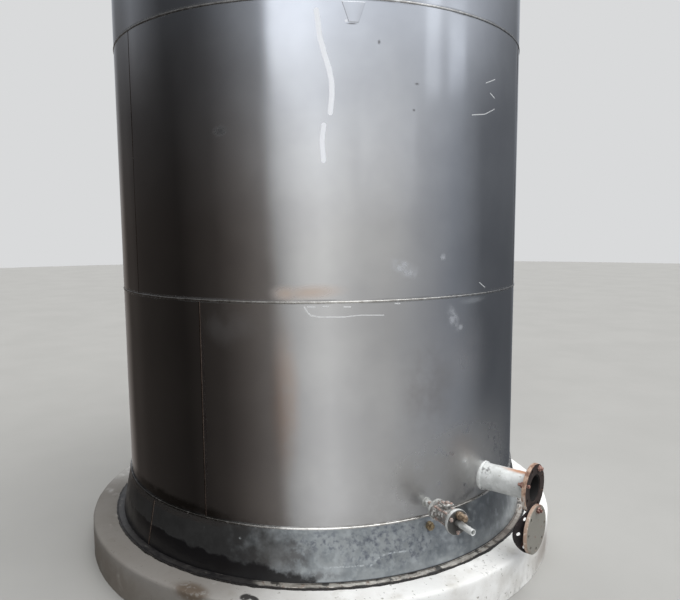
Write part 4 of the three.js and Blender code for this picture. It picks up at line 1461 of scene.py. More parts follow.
@dataclass
class Shell:
    """Three courses of rolled sheet with their welds."""

    radius: float = SHELL_RADIUS
    wall: float = 0.005
    seams: dict[str, float] = field(default_factory=lambda: {"lower": -78.3, "middle": 17.7, "upper": 71.0})
    sheets: int = 3
    steps: int = 96
    dent: float = 0.42  # size of the slow dents of handling
    dent_depth: float = 0.0028
    bead: float = 0.0045  # half width of a weld

    def build(self) -> None:
        """Model every sheet and weld."""
        sweep = 360 / self.sheets
        for course, seam in self.seams.items():
            for i in range(self.sheets):
                node = f"{course}_course_sheet_{i + 1}"
                azimuth = seam + i * sweep
                low, high = span(node)
                sheet = ring(f"{course}_sheet_{i + 1}", self.radius - self.wall, self.radius, low, high,
                             sides=self.steps, start=azimuth + 0.016, sweep=sweep - 0.03, rows=20)
                roughen(sheet, self.dent, self.dent_depth)
                if node == "lower_course_sheet_1":
                    self._pierce(sheet)
                present(sheet, MILL_SHEET, "stainless", node)
                bead = weld_rod(f"{course}_seam_weld_{i + 1}", high - low - 0.006, self.bead * 0.75, 0.28)
                stand = shift(*around(self.radius, azimuth, low + 0.003))
                present(bead, GROUND_SEAM, "stainless", angle=70, place=stand @ swung(azimuth))
        self._round_welds()

    def _pierce(self, sheet: Piece) -> None:
        """Cut the holes for the nozzle and the valve's stub."""
        for axis, pipe in ((NOZZLE_AXIS, Nozzle.outer), (VALVE_AXIS, SampleValve.pipe)):
            carve(sheet, settle(post("hole_cutter", pipe + 0.5 * MM, 0.2, self.radius), axis))

    def _round_welds(self) -> None:
        """Lay a bead round each joint between courses, and one round the band's top."""
        heights = [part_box(f"{course}_course_sheet_1")[0].z for course in ("middle", "upper")]
        for i, height in enumerate(heights):
            bead = ring(f"course_weld_{i + 1}", self.radius - 0.002, self.radius + self.bead * 0.6,
                        height - self.bead, height + self.bead, sides=720, rows=3)
            self._ripple(bead)
        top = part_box("base_band_1")[1].z
        bead = ring("band_top_weld", self.radius - 0.001, self.radius + 0.008, top - 0.002, top + 0.0055,
                    sides=720, rows=3, flare=0.002)
        self._ripple(bead)

    def _ripple(self, bead: Piece) -> None:
        """Round a square strip off into a rippled weld and dress it.

        Args:
            bead: the strip.
        """
        soften(bead, self.bead * 0.5, segments=2, angle=60)
        roughen(bead, 0.011, 0.0014)
        present(bead, WELD_METAL, "stainless", angle=80)


def hex_block(name: str, radius: float, low: float, high: float) -> Piece:
    """Model a hexagonal nut or head with chamfered corners.

    Args:
        name: its name.
        radius: across its corners, halved.
        low: lower height.
        high: upper height.

    Returns:
        The block, upright on the Z axis.
    """
    lip, neck = (high - low) * 0.14, radius * 0.9
    nut = turn(name, [(neck, low), (radius, low + lip), (radius, high - lip), (neck, high)], sides=6)
    soften(nut, radius * 0.05, segments=1, angle=20)
    return nut


def threaded(name: str, radius: float, low: float, high: float, pitch: float = 0.002) -> Piece:
    """Model a threaded rod as stacked grooves.

    Args:
        name: its name.
        radius: its outer radius.
        low: lower end.
        high: upper end.
        pitch: distance between crests.

    Returns:
        The rod, upright on the Z axis.
    """
    crests = int((high - low) / pitch)
    step = (high - low) / crests
    outline = [(radius * 0.82, low)]
    for crest in range(crests):
        outline += [(radius, low + step * (crest + 0.5)), (radius * 0.86, low + step * (crest + 1))]
    return turn(name, outline, sides=14)


def bolt_of(name: str, radius: float, low: float, high: float, across: float, *blocks: Pair) -> Piece:
    """Model a threaded rod with its head or nuts.

    Args:
        name: its name.
        radius: the rod's outer radius.
        low: its lower end.
        high: its upper end.
        across: half the head's width across corners.
        *blocks: lower and upper height of each head or nut.

    Returns:
        The bolt, upright on the Z axis.
    """
    rod = threaded(name + "_rod", radius, low, high)
    return fuse(name, rod, *(hex_block(f"{name}_nut_{i + 1}", across, *ends)
                             for i, ends in enumerate(blocks)))


@dataclass(frozen=True)
class BoltCircle:
    """Like bolts set evenly round an axis."""

    radius: float
    count: int
    turned: float = 0.0  # degrees from the local +Y axis to the first

    def fill(self, name: str, bolt: Piece) -> Piece:
        """Copy one bolt to every place on the circle, each at an angle of its own.

        Args:
            name: name of the joined piece.
            bolt: the bolt, upright on the local axis, which is used up.

        Returns:
            The joined bolts.
        """
        angles = [math.radians(self.turned) + TURN * i / self.count for i in range(self.count)]
        return set_out(name, bolt, [shift(self.radius * math.sin(a), self.radius * math.cos(a), 0)
                                    @ Matrix.Rotation(a * 1.7, 4, "Z") for a in angles])


def bored_disc(name: str, radius: float, low: float, high: float, bore: float, holes: BoltCircle,
               hole_radius: float, edge: float = 0.0015) -> Piece:
    """Model a round plate with a ring of bolt holes.

    Args:
        name: its name.
        radius: its outer radius.
        low: lower face.
        high: upper face.
        bore: radius of its middle hole, or zero for none.
        holes: where the bolt holes are.
        hole_radius: their radius.
        edge: width of its chamfer.

    Returns:
        The plate, upright on the Z axis.
    """
    plate = turn(name, edged(radius, low, high, edge), sides=144)
    depth, middle = 3 * (high - low), (low + high) / 2
    carve(plate, holes.fill("hole_cutters", post("hole_cutter", hole_radius, depth, middle, 28)))
    if bore:
        carve(plate, post("bore_cutter", bore, depth, middle))
    soften(plate, edge * 0.5, segments=1, angle=50)
    return plate


def refine(node: str, name: str, finish: Finish, slot: str, edge: float = 0.0, angle: float = 35.0) -> None:
    """Copy a CAD node, merge its loose triangles, round its edges and present it.

    Args:
        node: the node.
        name: the copy's name.
        finish: its finish.
        slot: the record's material slot.
        edge: width of the rounding.
        angle: the sharpest edge that is shaded smoothly, in degrees.
    """
    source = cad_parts[node]
    twin = bpy.data.objects.new(name, source.data.copy())
    twin.data.name = name
    bpy.context.collection.objects.link(twin)
    with shaping(twin):
        bpy.ops.mesh.remove_doubles(threshold=0.02 * MM)
        bpy.ops.mesh.dissolve_limited(angle_limit=math.radians(1.0))
    if edge:
        soften(twin, edge, segments=2, angle=max(angle, 30.0))
    present(twin, finish, slot, node, angle=angle)


@dataclass
class Nozzle:
    """Large open nozzle with a rusty slip-on flange and two bolts left loose in it."""

    outer: float = 0.063
    bore: float = 0.057
    start: float = 1.078
    end: float = 1.345
    face: float = 1.35
    thick: float = 0.02
    flange_radius: float = 0.113
    holes: BoltCircle = BoltCircle(0.093, 8, 22.5)
    hole_radius: float = 0.0093
    bolt_radius: float = 0.0078
    nut_radius: float = 0.014
    loose: Pair = (67.5, 157.5)  # where the two bolts sit, in degrees from +Y

    def build(self) -> None:
        """Model the pipe, flange, welds and loose bolts."""
        pipe = ring("nozzle_tube", self.bore, self.outer, self.start, self.end, sides=96, rows=24)
        roughen(pipe, 0.05, 0.0012)
        present(pipe, SILVER_PAINT, "silver_paint", "nozzle_pipe", angle=50, place=NOZZLE_AXIS)

        back = self.face - self.thick
        flange = bored_disc("slip_on_flange", self.flange_radius, back, self.face, self.outer + GAP,
                            self.holes, self.hole_radius)
        present(flange, RUSTED_FLANGE, "rusty_steel", "nozzle_flange", angle=40, place=NOZZLE_AXIS)
        self._welds(back)
        self._bolts(back)

    def _welds(self, back: float) -> None:
        """Weld the pipe to the shell and to the flange.

        Args:
            back: where the flange's back is.
        """
        for name, low, high, wide, finish in (
                ("nozzle_shell_weld", SHELL_RADIUS - 0.012, SHELL_RADIUS + 0.006, 0.007, SILVER_PAINT),
                ("nozzle_flange_weld", back - 0.007, back + 0.0005, 0.008, RUSTED_FLANGE)):
            bead = ring(name, self.outer - 0.0005, self.outer + wide, low, high, sides=180, rows=3)
            soften(bead, 0.003, segments=3, angle=50)
            roughen(bead, 0.014, 0.0022)
            present(bead, finish, "silver_paint", angle=70, place=NOZZLE_AXIS)

    def _bolts(self, back: float) -> None:
        """Leave one bolt with its nut in front, and one with its nut behind and no head.

        Args:
            back: where the flange's back is.
        """
        front, behind = self.face + GAP, back - GAP
        lengths = (((back - 0.01, self.face + 0.022), (front, front + 0.013), (behind - 0.01, behind)),
                   ((back - 0.026, self.face + 0.01), (behind - 0.013, behind)))
        for i, (angle, (ends, *blocks)) in enumerate(zip(self.loose, lengths)):
            bolt = bolt_of(f"loose_flange_bolt_{i + 1}", self.bolt_radius, *ends, self.nut_radius, *blocks)
            present(bolt, RUSTED_BOLT, "rusty_steel", angle=30, place=self.at_hole(math.radians(angle)))

    def at_hole(self, angle: float) -> Matrix:
        """Placement that lays an upright bolt into a hole, at an angle from +Y."""
        y, z = (self.holes.radius * f(angle) for f in (math.cos, math.sin))
        return shift(0, y, z) @ NOZZLE_AXIS


@dataclass
class HangingBlind:
    """Blind flange and gasket that hang from one lower bolt of the nozzle."""

    nozzle: Nozzle
    hole: int = 5  # the nozzle's hole that the bolt is in
    slack: float = 0.001  # play of the bolt in the holes
    near: float = 1.359  # the blind's near face
    thick: float = 0.018

    def build(self) -> None:
        """Model the bolt, the gasket and the blind."""
        nozzle = self.nozzle
        at_bolt = nozzle.at_hole((self.hole + 0.5) * TURN / nozzle.holes.count)
        hang = shift(0, 0, -self.slack - nozzle.holes.radius) @ at_bolt

        blind = bored_disc("hanging_blind", nozzle.flange_radius, self.near, self.near + self.thick, 0.0,
                           replace(nozzle.holes, turned=90.0), nozzle.hole_radius, 0.002)
        present(blind, HANGING_PLATE, "rusty_steel", "hanging_blind_flange", angle=40, place=hang)

        refine("loose_gasket", "curled_gasket", PERISHED_RUBBER, "rubber", angle=40)

        low, high = (corner.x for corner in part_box("hanging_bolt"))
        bolt = bolt_of("blind_hanging_bolt", nozzle.bolt_radius, low, high, nozzle.nut_radius,
                       (low + 0.008, low + 0.021), (high - 0.021, high - 0.008))
        present(bolt, WET_BOLT, "rusty_steel", "hanging_bolt", angle=30, place=at_bolt)


@dataclass
class SampleValve:
    """Small flanged valve with a short open outlet, and the brass plug under it."""

    pipe: float = 0.0168
    bore: float = 0.013
    outlet: Pair = (0.01345, 0.0104)  # outer and inner radius of its outlet pipe
    stub_end: float = 1.187
    flange: float = 0.046
    flange_thick: float = 0.013
    body_end: float = 1.311
    disc: float = 0.055
    disc_thick: float = 0.015
    end: float = 1.428
    stud_circle: BoltCircle = BoltCircle(0.036, 4, 45.0)
    outlet_circle: BoltCircle = BoltCircle(0.042, 3, 90.0)
    drain: Pair = (-23.7, PLINTH_TOP + 0.19)  # azimuth and height of the brass plug

    def build(self) -> None:
        """Model every piece of the valve."""
        self._stub()
        self._body()
        self._outlet()
        self._studs()
        self._plugs()

    def _stub(self) -> None:
        """Stub through the shell with its flange."""
        start = SHELL_RADIUS - 0.011
        tube = ring("valve_stub_tube", self.bore, self.pipe, start, self.stub_end - 0.002, sides=40)
        flange = ring("valve_stub_flange", self.pipe - 0.0005, self.flange,
                      self.stub_end - self.flange_thick, self.stub_end, sides=72)
        soften(flange, 0.0015)
        collar = ring("valve_stub_weld", self.pipe - 0.001, self.pipe + 0.006, SHELL_RADIUS - 0.002,
                      SHELL_RADIUS + 0.005, sides=60, rows=2)
        soften(collar, 0.0018)
        roughen(collar, 0.006, 0.001)
        stub = fuse("valve_stub", tube, flange, collar)
        present(stub, AGED_PAINT, "silver_paint", "valve_inlet_stub", place=VALVE_AXIS)

    def _body(self) -> None:
        """Cast body with its stem boss and the pad on it."""
        start, end = self.stub_end + GAP, self.body_end
        ball = (start + end) / 2
        rim = 0.0015
        near, far = start + self.flange_thick, end - self.flange_thick
        bulge = [(0.025, 0.034), (0.031, 0.027), (0.0355, 0.018), (0.037, 0.009)]
        outline = [*edged(self.flange, start, near, rim), (0.027, near + 0.001), (0.024, near + 0.004),
                   *((radius, ball - away) for radius, away in bulge),
                   *((radius, ball + away) for radius, away in reversed(bulge)),
                   (0.024, far - 0.004), (0.027, far - 0.001), *edged(self.disc - 0.004, far, end, rim)]
        body = turn("valve_casting", outline, sides=56)
        roughen(body, 0.012, 0.0005)
        present(body, SCALED_CASTING, "valve_steel", "valve_body", angle=45, place=VALVE_AXIS)

        stem = turn("valve_stem_boss", [(0.016, 0.03), (0.016, 0.04), (0.013, 0.043), (0.013, 0.046)], 40)
        pad = block("valve_pad", (0, 0, 0.05), (0.046, 0.046, 0.008), 0.002)
        bolt = fuse("valve_pad_bolt", threaded("valve_pad_rod", 0.004, 0.044, 0.0605, 0.0015),
                    hex_block("valve_pad_nut", 0.0075, 0.0541, 0.0585))
        bolts = set_out("valve_pad_bolts", bolt, [shift(-0.012, -0.013, 0), shift(0.012, 0.013, 0)])
        spindle = hex_block("valve_spindle", 0.009, 0.053, 0.062)
        lift = VALVE_AXIS @ shift(0, 0, ball) @ Matrix.Rotation(-math.pi / 2, 4, "Y")
        present(fuse("valve_stem_cover", stem, pad), SCALED_CASTING, "valve_steel", place=lift)
        present(fuse("valve_stem_bolts", bolts, spindle), DULL_STUD, "rusty_steel", angle=30, place=lift)

    def _outlet(self) -> None:
        """Outlet flange and the pipe in it."""
        low = self.body_end + GAP
        outer, inner = self.outlet
        flange = ring("valve_outlet_disc", outer + GAP, self.disc, low, low + self.disc_thick, sides=96)
        soften(flange, 0.0018)
        roughen(flange, 0.02, 0.0006)
        present(flange, DARK_FACED_PAINT, "silver_paint", "valve_outlet_flange", place=VALVE_AXIS)
        tube = ring("valve_outlet_tube", inner, outer, low + 0.002, self.end, sides=48, rows=10)
        soften(tube, 0.0008, segments=1, angle=60)
        present(tube, SILVER_PAINT, "silver_paint", "valve_outlet_pipe", place=VALVE_AXIS)

    def _studs(self) -> None:
        """Long studs from flange to flange, with a nut at each end."""
        low, high = self.stub_end - self.flange_thick - 0.024, self.body_end - self.flange_thick - GAP
        rod = turn("stud_rod", [(0.0045, low), (0.0052, low + 0.001),
                                (0.0052, high + 0.011), (0.0045, high + 0.012)], sides=20)
        stud = fuse("valve_stud", rod, hex_block("stud_nut", 0.0098, low + 0.013, low + 0.0235),
                    hex_block("stud_nut_2", 0.0098, high - 0.01, high))
        studs = self.stud_circle.fill("valve_flange_studs", stud)
        present(studs, DULL_STUD, "rusty_steel", angle=30, place=VALVE_AXIS)
        face = self.body_end + GAP + self.disc_thick
        short = bolt_of("valve_disc_bolt", 0.005, face - 0.004, face + 0.012, 0.0095,
                        (face + GAP, face + 0.008))
        outer = self.outlet_circle.fill("valve_outlet_bolts", short)
        present(outer, DULL_STUD, "valve_steel", angle=30, place=VALVE_AXIS)

    def _plugs(self) -> None:
        """Bronze plug over the outlet, and the brass one on the band."""
        low, high = self.body_end + self.disc_thick + 2 * GAP, self.body_end + 0.0703
        plug = turn("bronze_plug_hex", [
            (0.0142, low), (0.016, low + 0.002), (0.016, high - 0.022), (0.0145, high - 0.02),
            (0.0145, high - 0.003), (0.0125, high)], sides=6)
        soften(plug, 0.0012, segments=2, angle=25)
        collar = turn("bronze_plug_collar", [(0.0155, low + 0.01), (0.0172, low + 0.012),
                                             (0.0172, low + 0.018), (0.0155, low + 0.02)], sides=32)
        both = fuse("bronze_side_plug", plug, collar)
        present(both, BRONZE, "bronze", "valve_side_plug", angle=30, place=shift(0, 0, 0.036) @ VALVE_AXIS)

        seat = max(corner.xy.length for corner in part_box("drain_plug")) - 0.036
        nut = hex_block("brass_plug_hex", 0.0205, seat + 0.002, seat + 0.022)
        square = turn("brass_plug_square", [(0.015, seat + 0.019), (0.015, seat + 0.029),
                                            (0.0125, seat + 0.031)], sides=4)
        soften(square, 0.0012, segments=2, angle=30)
        boss = turn("brass_plug_boss", [(0.0195, seat - 0.006), (0.0195, seat + 0.003)], sides=32)
        plug = fuse("brass_drain_plug", nut, square, boss)
        present(plug, BRASS, "brass", "drain_plug", angle=30, place=lay_along(*self.drain))


@dataclass
class Patch:
    """Small plate welded under the upper seam."""

    azimuth: float = -41.8
    low: float = 2.528
    high: float = 2.606
    width: float = 5.0  # at the top, in degrees of azimuth
    thick: float = 0.0035

    def build(self) -> None:
        """Model the plate, tapered towards its foot."""
        plate = ring("welded_patch_plate", SHELL_RADIUS - 0.0015, SHELL_RADIUS + self.thick, self.low,
                     self.high, sides=12, start=-self.width / 2, sweep=self.width)
        with shaping(plate):
            pick_faces(plate, lambda at, way: way.z < -0.9)
            bpy.ops.transform.resize(value=(1, 0.42, 1))
        soften(plate, 0.0008)
        present(plate, MILL_SHEET, "stainless", angle=10, place=swung(self.azimuth))


@dataclass
class Roof:
    """Curb ring, cone roof, manway, vent and lifting lugs."""

    curb_inner: float = 1.0965
    curb_outer: float = 1.107
    manway: Pair = (0.65, 98.0)  # distance from the axis and azimuth
    neck: float = 0.255
    wall: float = 0.006
    lid: float = 0.31
    lid_bolts: BoltCircle = BoltCircle(0.283, 16, 11.25)
    vent: Pair = (0.7, -95.0)
    vent_radius: float = 0.03
    vent_bend: float = 0.09

    def build(self) -> None:
        """Model everything on the roof but the drive."""
        low, high = span("top_curb_ring")
        curb = ring("rolled_curb_ring", self.curb_inner, self.curb_outer, low, high, sides=360)
        soften(curb, 0.002)
        present(curb, DUSTY_SHEET, "stainless", "top_curb_ring")
        self._weld("curb_weld", SHELL_RADIUS - 0.001, SHELL_RADIUS + 0.006, low - 0.007, low + 0.001)
        self._weld("eave_weld", self.curb_outer - 0.008, self.curb_outer - 0.0005, high - 0.001,
                   high + 0.0055)
        refine("roof_cone", "cone_roof_plate", DUSTY_SHEET, "stainless", angle=30)
        self._manway()
        self._vent()
        for i in (1, 2):
            refine(f"lifting_lug_{i}", f"lifting_eye_{i}", DUSTY_SHEET, "stainless", edge=0.0015, angle=40)

    def _weld(self, name: str, inner: float, outer: float, low: float, high: float) -> None:
        """Lay a bead round the tank.

        Args:
            name: its name.
            inner: its inner radius.
            outer: its outer radius.
            low: lowest height.
            high: greatest height.
        """
        bead = ring(name, inner, outer, low, high, sides=360, rows=2)
        soften(bead, 0.0022, segments=2, angle=60)
        roughen(bead, 0.01, 0.0016)
        present(bead, WELD_METAL, "stainless", angle=80)

    def _manway(self) -> None:
        """Neck with its flange, lid, bolts and bar handle."""
        place = shift(*around(*self.manway, 0.0))
        low, high = span("manway_neck")
        neck = ring("manway_neck_ring", self.neck - self.wall, self.neck, low, high, sides=144, rows=12)
        with shaping(neck):
            pick_faces(neck, lambda at, way: at.z > high - 0.0195 and way.z < 0.5
                       and at.xy.length > self.neck - 0.001 and at.xy.dot(way.xy) > 0)
            swell(self.lid - self.neck)
        soften(neck, 0.0012)
        present(neck, DUSTY_SHEET, "stainless", "manway_neck", place=place)

        base, top = span("manway_lid")
        dish = edged(self.lid, base, top, 0.0015) + [
            (self.neck, top), (self.neck - 0.012, top - 0.003), (0.02, top - 0.0035)]
        lid = turn("manway_cover", dish, sides=144)
        present(lid, DUSTY_SHEET, "stainless", "manway_lid", angle=25, place=place)

        under = base - 0.0145
        bolt = bolt_of("manway_bolt", 0.0062, under - 0.018, top + 0.018, 0.0118,
                       (top + GAP, top + 0.011), (under - 0.0105, under - GAP))
        bolts = self.lid_bolts.fill("manway_lid_bolts", bolt)
        present(bolts, ZINC_PLATE, "stainless", angle=30, place=place)

        self._handle(place, top)

    def _handle(self, place: Matrix, top: float) -> None:
        """Bent bar handle across the lid.

        Args:
            place: where the manway stands.
            top: height of the lid's upper face.
        """
        bar, rise, half, bend = 0.007, 0.048, 0.07, 0.022
        foot, level = top - 0.003, half - bend
        handle = disc("manway_handle", bar, (-half, 0, foot), 16)
        with shaping(handle):
            extrude(rise - bend)
            for centre, along in ((-level, 2 * level), (level, 0.0)):
                bpy.ops.mesh.spin(steps=8, angle=math.pi / 2, center=(centre, 0, foot + rise - bend),
                                  axis=(0, -1, 0))
                if along:
                    extrude(0, along)
            extrude(bend - rise)
            face_outwards()
        present(handle, SHAFT_STEEL, "stainless", angle=50, place=place)

    def _vent(self) -> None:
        """Gooseneck pipe with a collar on the roof."""
        low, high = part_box("roof_vent")
        at = around(*self.vent, low.z)
        bend_height = high.z - self.vent_bend - self.vent_radius
        pipe = disc("gooseneck_vent", self.vent_radius - 0.0005, at, 48)
        with shaping(pipe):
            extrude(bend_height - low.z)
            centre = (at.x, at.y - self.vent_bend, bend_height)
            bpy.ops.mesh.spin(steps=24, angle=math.pi, center=centre, axis=(-1, 0, 0))
            extrude(-0.058)
            pick_faces(pipe, lambda at, way: abs(way.z) > 0.999)
            bpy.ops.mesh.delete(type="ONLY_FACE")
            merge()
            face_outwards()
        apply(pipe, "SOLIDIFY", thickness=0.0035, offset=-1.0)
        present(pipe, DUSTY_SHEET, "stainless", "roof_vent", angle=50)
        seat = low.z + 0.033
        collar = ring("vent_collar", self.vent_radius + 0.0003, self.vent_radius + 0.01, seat,
                      seat + 0.01, sides=64)
        soften(collar, 0.003)
        present(collar, WELD_METAL, "stainless", angle=50, place=shift(at.x, at.y, 0))


@dataclass
class Bridge:
    """Two channels across the roof with the drive's base plate and neck."""

    base_bolts: Pair = (0.225, 0.247)  # how far they stand from the axis along X and Y
    neck: float = 0.1597
    wall: float = 0.006

    def build(self) -> None:
        """Model the bridge."""
        for i in (1, 2):
            refine(f"bridge_beam_{i}", f"bridge_channel_{i}", GREY_PAINT, "bridge_steel", edge=0.002)
        refine("drive_base_plate", "bridge_base_plate", GREY_PAINT, "bridge_steel", edge=0.002)
        low, top = span("drive_base_plate")
        under = low - 0.008
        bolt = bolt_of("base_plate_bolt", 0.0098, under - 0.016, top + 0.008, 0.0173,
                       (top + GAP, top + 0.0125), (under - 0.0158, under - GAP))
        x, y = self.base_bolts
        bolts = set_out("base_plate_bolts", bolt, [shift(a, b, 0) for b in (y, -y) for a in (x, -x)])
        present(bolts, ZINC_PLATE, "bridge_steel", angle=30)
        low, high = span("drive_neck")
        neck = ring("drive_neck_pipe", self.neck - self.wall, self.neck, low, high, sides=144)
        present(neck, DUSTY_SHEET, "stainless", "drive_neck")
        seat = high - 0.01
        bead = ring("neck_top_weld", self.neck - 0.0005, self.neck + 0.008, seat, high - 0.0005,
                    sides=200, rows=2, flare=-0.007)
        roughen(bead, 0.01, 0.001)
        present(bead, GREY_PAINT, "bridge_steel", angle=60)


@dataclass
class Drive:
    """Lantern, gearbox, motor, shaft and impeller."""

    lantern: float = 0.125
    lantern_wall: float = 0.014
    foot: float = 0.19
    head: float = 0.16  # flanges at the lantern's top and on the gearbox
    flange: float = 0.02
    window: float = 0.08  # half width of the lantern's windows
    gearbox: float = 0.14
    motor: float = 0.092
    fins: int = 36
    fin_radius: float = 0.112
    cowl: float = 0.116
    coupling: float = 0.068
    shaft: float = 0.032
    foot_bolts: BoltCircle = BoltCircle(0.165, 8, 22.5)
    head_bolts: BoltCircle = BoltCircle(0.146, 8, 22.5)
    motor_bolts: BoltCircle = BoltCircle(0.136, 4, 45.0)
    coupling_bolts: BoltCircle = BoltCircle(0.055, 6)
    cover_bolts: BoltCircle = BoltCircle(0.058, 6)
    # Azimuth of each oil plug, and its height above the gearbox's foot
    oil_plugs: tuple[Pair, ...] = ((35.0, 0.06), (35.0, 0.18), (150.0, 0.215))

    def build(self) -> None:
        """Model the whole drive."""
        self._lantern()
        self._coupling()
        self._gearbox()
        self._motor()
        self._cowl()
        self._terminal_box()
        dress("agitator_shaft", SHAFT_STEEL)
        refine("impeller", "pitched_blade_impeller", SHAFT_STEEL, "stainless", edge=0.001)

    def _lantern(self) -> None:
        """Barrel with two windows, flanges and their bolts."""
        low, high = span("drive_lantern")
        barrel = ring("lantern_casting", self.lantern - self.lantern_wall, self.lantern, low, high,
                      sides=120, rows=15)
        with shaping(barrel):
            for foot, top, wide in ((low, low + self.flange, self.foot),
                                    (high - self.flange, high, self.head)):
                pick_faces(barrel, lambda at, way: foot < at.z < top and abs(way.z) < 0.5
                           and at.xy.dot(way.xy) > 0.0005 and at.xy.length > self.lantern - 0.001)
                swell(wide - self.lantern)
        window = block("window_cutter", (0, 0, (low + high) / 2),
                       (2 * self.window, 0.6, high - low - 0.12), 0.022, 5)
        carve(barrel, window)
        soften(barrel, 0.002, segments=2, angle=40)
        present(barrel, BLUE_ENAMEL, "drive_paint", "drive_lantern")
        screw = self._screw("lantern_foot_bolt", low + self.flange)
        feet = self.foot_bolts.fill("lantern_foot_bolts", screw)
        present(feet, ZINC_PLATE, "drive_paint", angle=30)
        under = high - self.flange
        screw = fuse("lantern_head_bolt", self._screw("head_bolt", high + 0.0225),
                     hex_block("head_nut", 0.0115, under - 0.011, under - GAP))
        heads = self.head_bolts.fill("lantern_head_bolts", screw)
        present(heads, ZINC_PLATE, "drive_paint", angle=30)

    def _screw(self, name: str, face: float) -> Piece:
        """Model a hex screw with its washer on a face.

        Args:
            name: its name.
            face: height of the face.

        Returns:
            The screw, upright on the Z axis.
        """
        washer = turn(name + "_washer", [(0.0125, face + GAP), (0.0125, face + 0.0023)], sides=24)
        head = hex_block(name + "_head", 0.0115, face + 0.0025, face + 0.0105)
        return fuse(name, head, washer)

    def _coupling(self) -> None:
        """Split flange coupling with its bolts."""
        low, high = span("shaft_coupling")
        middle = (low + high) / 2
        wide, hub, rim = self.coupling, self.coupling * 0.66, 0.002
        body = turn("split_coupling", [
            (hub - rim, low), (hub, low + rim), (hub, middle - 0.024), (wide - rim, middle - 0.022),
            (wide, middle - 0.02), (wide, middle - 0.001), (wide - rim, middle), (wide, middle + 0.001),
            (wide, middle + 0.02), (wide - rim, middle + 0.022), (hub, middle + 0.024), (hub, high - rim),
            (hub - rim, high)], sides=72)
        screw = hex_block("coupling_screw", 0.008, middle + 0.0215, middle + 0.029)
        whole = fuse("flanged_coupling", body, self.coupling_bolts.fill("coupling_screws", screw))
        present(whole, GREY_PAINT, "bridge_steel", "shaft_coupling", angle=30)

    def _gearbox(self) -> None:
        """Ribbed gear casing with its input housing, cover, output stub and oil plugs."""
        low, _ = span("gearbox")
        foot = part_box("motor")[0].z - 0.3003
        rim = 0.0025
        wide, narrow, top = self.gearbox, self.gearbox - 0.01, self.head - 0.01
        steps = [(self.head - rim, 0), (self.head, rim), (self.head, 0.02), (self.head - rim, 0.022),
                 (wide - 0.008, 0.024), (narrow, 0.03), (narrow, 0.12), (wide - 0.004, 0.124),
                 (wide, 0.128), (wide, 0.148), (wide - 0.004, 0.152), (narrow, 0.156), (narrow, 0.255),
                 (wide - 0.024, 0.276), (top - 0.002, 0.28), (top, 0.282), (top, 0.298), (top - rim, 0.3)]
        barrel = turn("gear_casing", [(radius, foot + rise) for radius, rise in steps], sides=96)
        box = block("input_housing", (0, -0.095, foot + 0.155), (0.176, 0.154, 0.168), 0.014, 4)
        rib = block("casing_rib", (self.gearbox - 0.012, 0, foot + 0.14), (0.024, 0.007, 0.236), 0.002, 1)
        ribs = spread("casing_ribs", rib, 12, 15.0)
        stub = turn("output_stub", [(self.shaft - 0.001, low + 0.0005), (self.shaft, low + 0.0015),
                                    (self.shaft, foot + 0.002)], sides=48)
        casing = fuse("ribbed_gear_casing", barrel, box, stub, ribs)
        present(casing, BLUE_ENAMEL, "drive_paint", "gearbox")

        cover = turn("input_cover", [(0.068, 0.0), (0.07, 0.0015), (0.07, 0.0035)], sides=64)
        screws = self.cover_bolts.fill("cover_screws", hex_block("cover_screw", 0.0065, 0.0035, 0.0085))
        present(fuse("input_cover_plate", cover, screws), BLUE_ENAMEL, "drive_paint", angle=30,
                place=shift(0, -0.1637, foot + 0.155) @ Matrix.Rotation(math.pi / 2, 4, "X"))

        plug = hex_block("oil_plug", 0.013, wide - 0.011, wide + 0.003)
        places = [lay_along(azimuth, foot + rise) for azimuth, rise in self.oil_plugs]
        present(set_out("gearbox_oil_plugs", plug, places), BRASS, "brass", angle=30)

    def _motor(self) -> None:
        """Finned motor frame with its end shields and flange."""
        low, high = span("motor")
        side = self.motor
        body = turn("motor_frame", edged(self.head - 0.01, low, low + 0.018, 0.002) + [
            (side + 0.01, low + 0.022), (side + 0.006, low + 0.03), (side, low + 0.04),
            (side, high - 0.03), (side + 0.01, high - 0.026), (side + 0.012, high - 0.02),
            (side + 0.012, high - 0.004), (side + 0.008, high)], sides=96)
        fin = block("cooling_fin", ((side + self.fin_radius) / 2, 0, (low + high) / 2 + 0.004),
                    (self.fin_radius - side + 0.004, 0.0032, high - low - 0.076), 0.001, 1)
        fins = spread("cooling_fins", fin, self.fins)
        present(fuse("finned_motor_frame", body, fins), BLUE_ENAMEL, "drive_paint", "motor")
        bolts = self.motor_bolts.fill("motor_flange_bolts", self._screw("motor_bolt", low + 0.018))
        present(bolts, ZINC_PLATE, "drive_paint", angle=30)

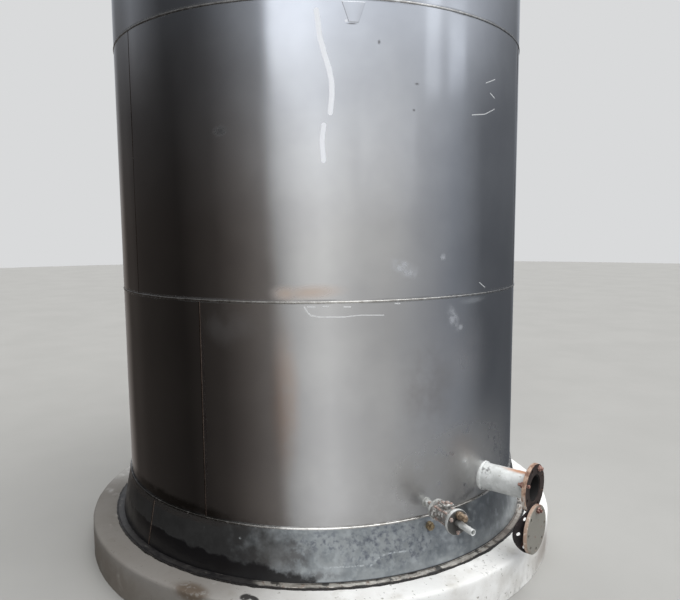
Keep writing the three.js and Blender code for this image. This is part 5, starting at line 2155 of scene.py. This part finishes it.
    def _cowl(self) -> None:
        """Pressed fan cowl with a grille of rings and spokes."""
        low, high = span("motor_fan_cowl")
        skirt = turn("fan_cowl_shell", [
            (self.cowl, low), (self.cowl, high - 0.022), (self.cowl - 0.003, high - 0.012),
            (self.cowl - 0.01, high - 0.005), (self.cowl - 0.022, high - 0.003), (0.085, high - 0.003),
            (0.083, high - 0.012), (0.01, high - 0.012)], sides=96)
        rings = [ring(f"grille_ring_{i + 1}", radius - 0.0018, radius + 0.0018, high - 0.0065,
                      high - 0.003, sides=72) for i, radius in enumerate((0.02, 0.033, 0.046, 0.059, 0.072))]
        spoke = block("grille_spoke", (0, 0, high - 0.0095), (0.166, 0.004, 0.005), 0.0008, 1)
        cowl = fuse("fan_cowl_with_grille", skirt, *rings, spread("grille_spokes", spoke, 4, whole=8))
        present(cowl, BLACK_ENAMEL, "cowl_paint", "motor_fan_cowl")

    def _terminal_box(self) -> None:
        """Cast terminal box with a screwed lid and a blanked cable entry."""
        low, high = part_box("motor_terminal_box")
        middle = (low + high) / 2
        size = high - low
        box = block("terminal_casting", (middle.x - 0.006, 0, middle.z),
                    (size.x - 0.014, size.y - 0.008, size.z - 0.008), 0.006, 3)
        lid = block("terminal_lid", (high.x - 0.0095, 0, middle.z),
                    (0.011, size.y - 0.0005, size.z - 0.0005), 0.003)
        screw = turn("lid_screw", [(0.0045, 0.0), (0.0045, 0.0025), (0.003, 0.0038)], sides=20)
        places = [shift(high.x - 0.0042, y, middle.z + z) @ Matrix.Rotation(math.pi / 2, 4, "Y")
                  for y in (-0.047, 0.047) for z in (-0.049, 0.049)]
        plug = hex_block("cable_entry_plug", 0.014, -0.01, 0.0)
        settle(plug, shift(middle.x - 0.006, 0, low.z + 0.004))
        case = fuse("motor_terminal_case", box, lid, plug, set_out("lid_screws", screw, places))
        present(case, BLUE_ENAMEL, "drive_paint", "motor_terminal_box")


def dress(node: str, finish: Finish) -> None:
    """Give a CAD node that keeps its shape its material.

    Args:
        node: the node.
        finish: its finish.
    """
    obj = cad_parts[node]
    for slot in obj.material_slots:
        slot.material = finish.material()
    log.info("%s: %s", node, finish.name)


def main() -> None:
    """Build the studio and the tank, piece by piece."""
    logging.basicConfig(level=logging.INFO, format="%(message)s")
    Studio().build()
    nozzle = Nozzle()
    for part in (Plinth(), FloorRim(), BaseBand(), Shell(), Patch(), nozzle, HangingBlind(nozzle),
                 SampleValve(), Roof(), Bridge(), Drive()):
        log.info("building %s", type(part).__name__)
        part.build()


if __name__ == "__main__":
    main()
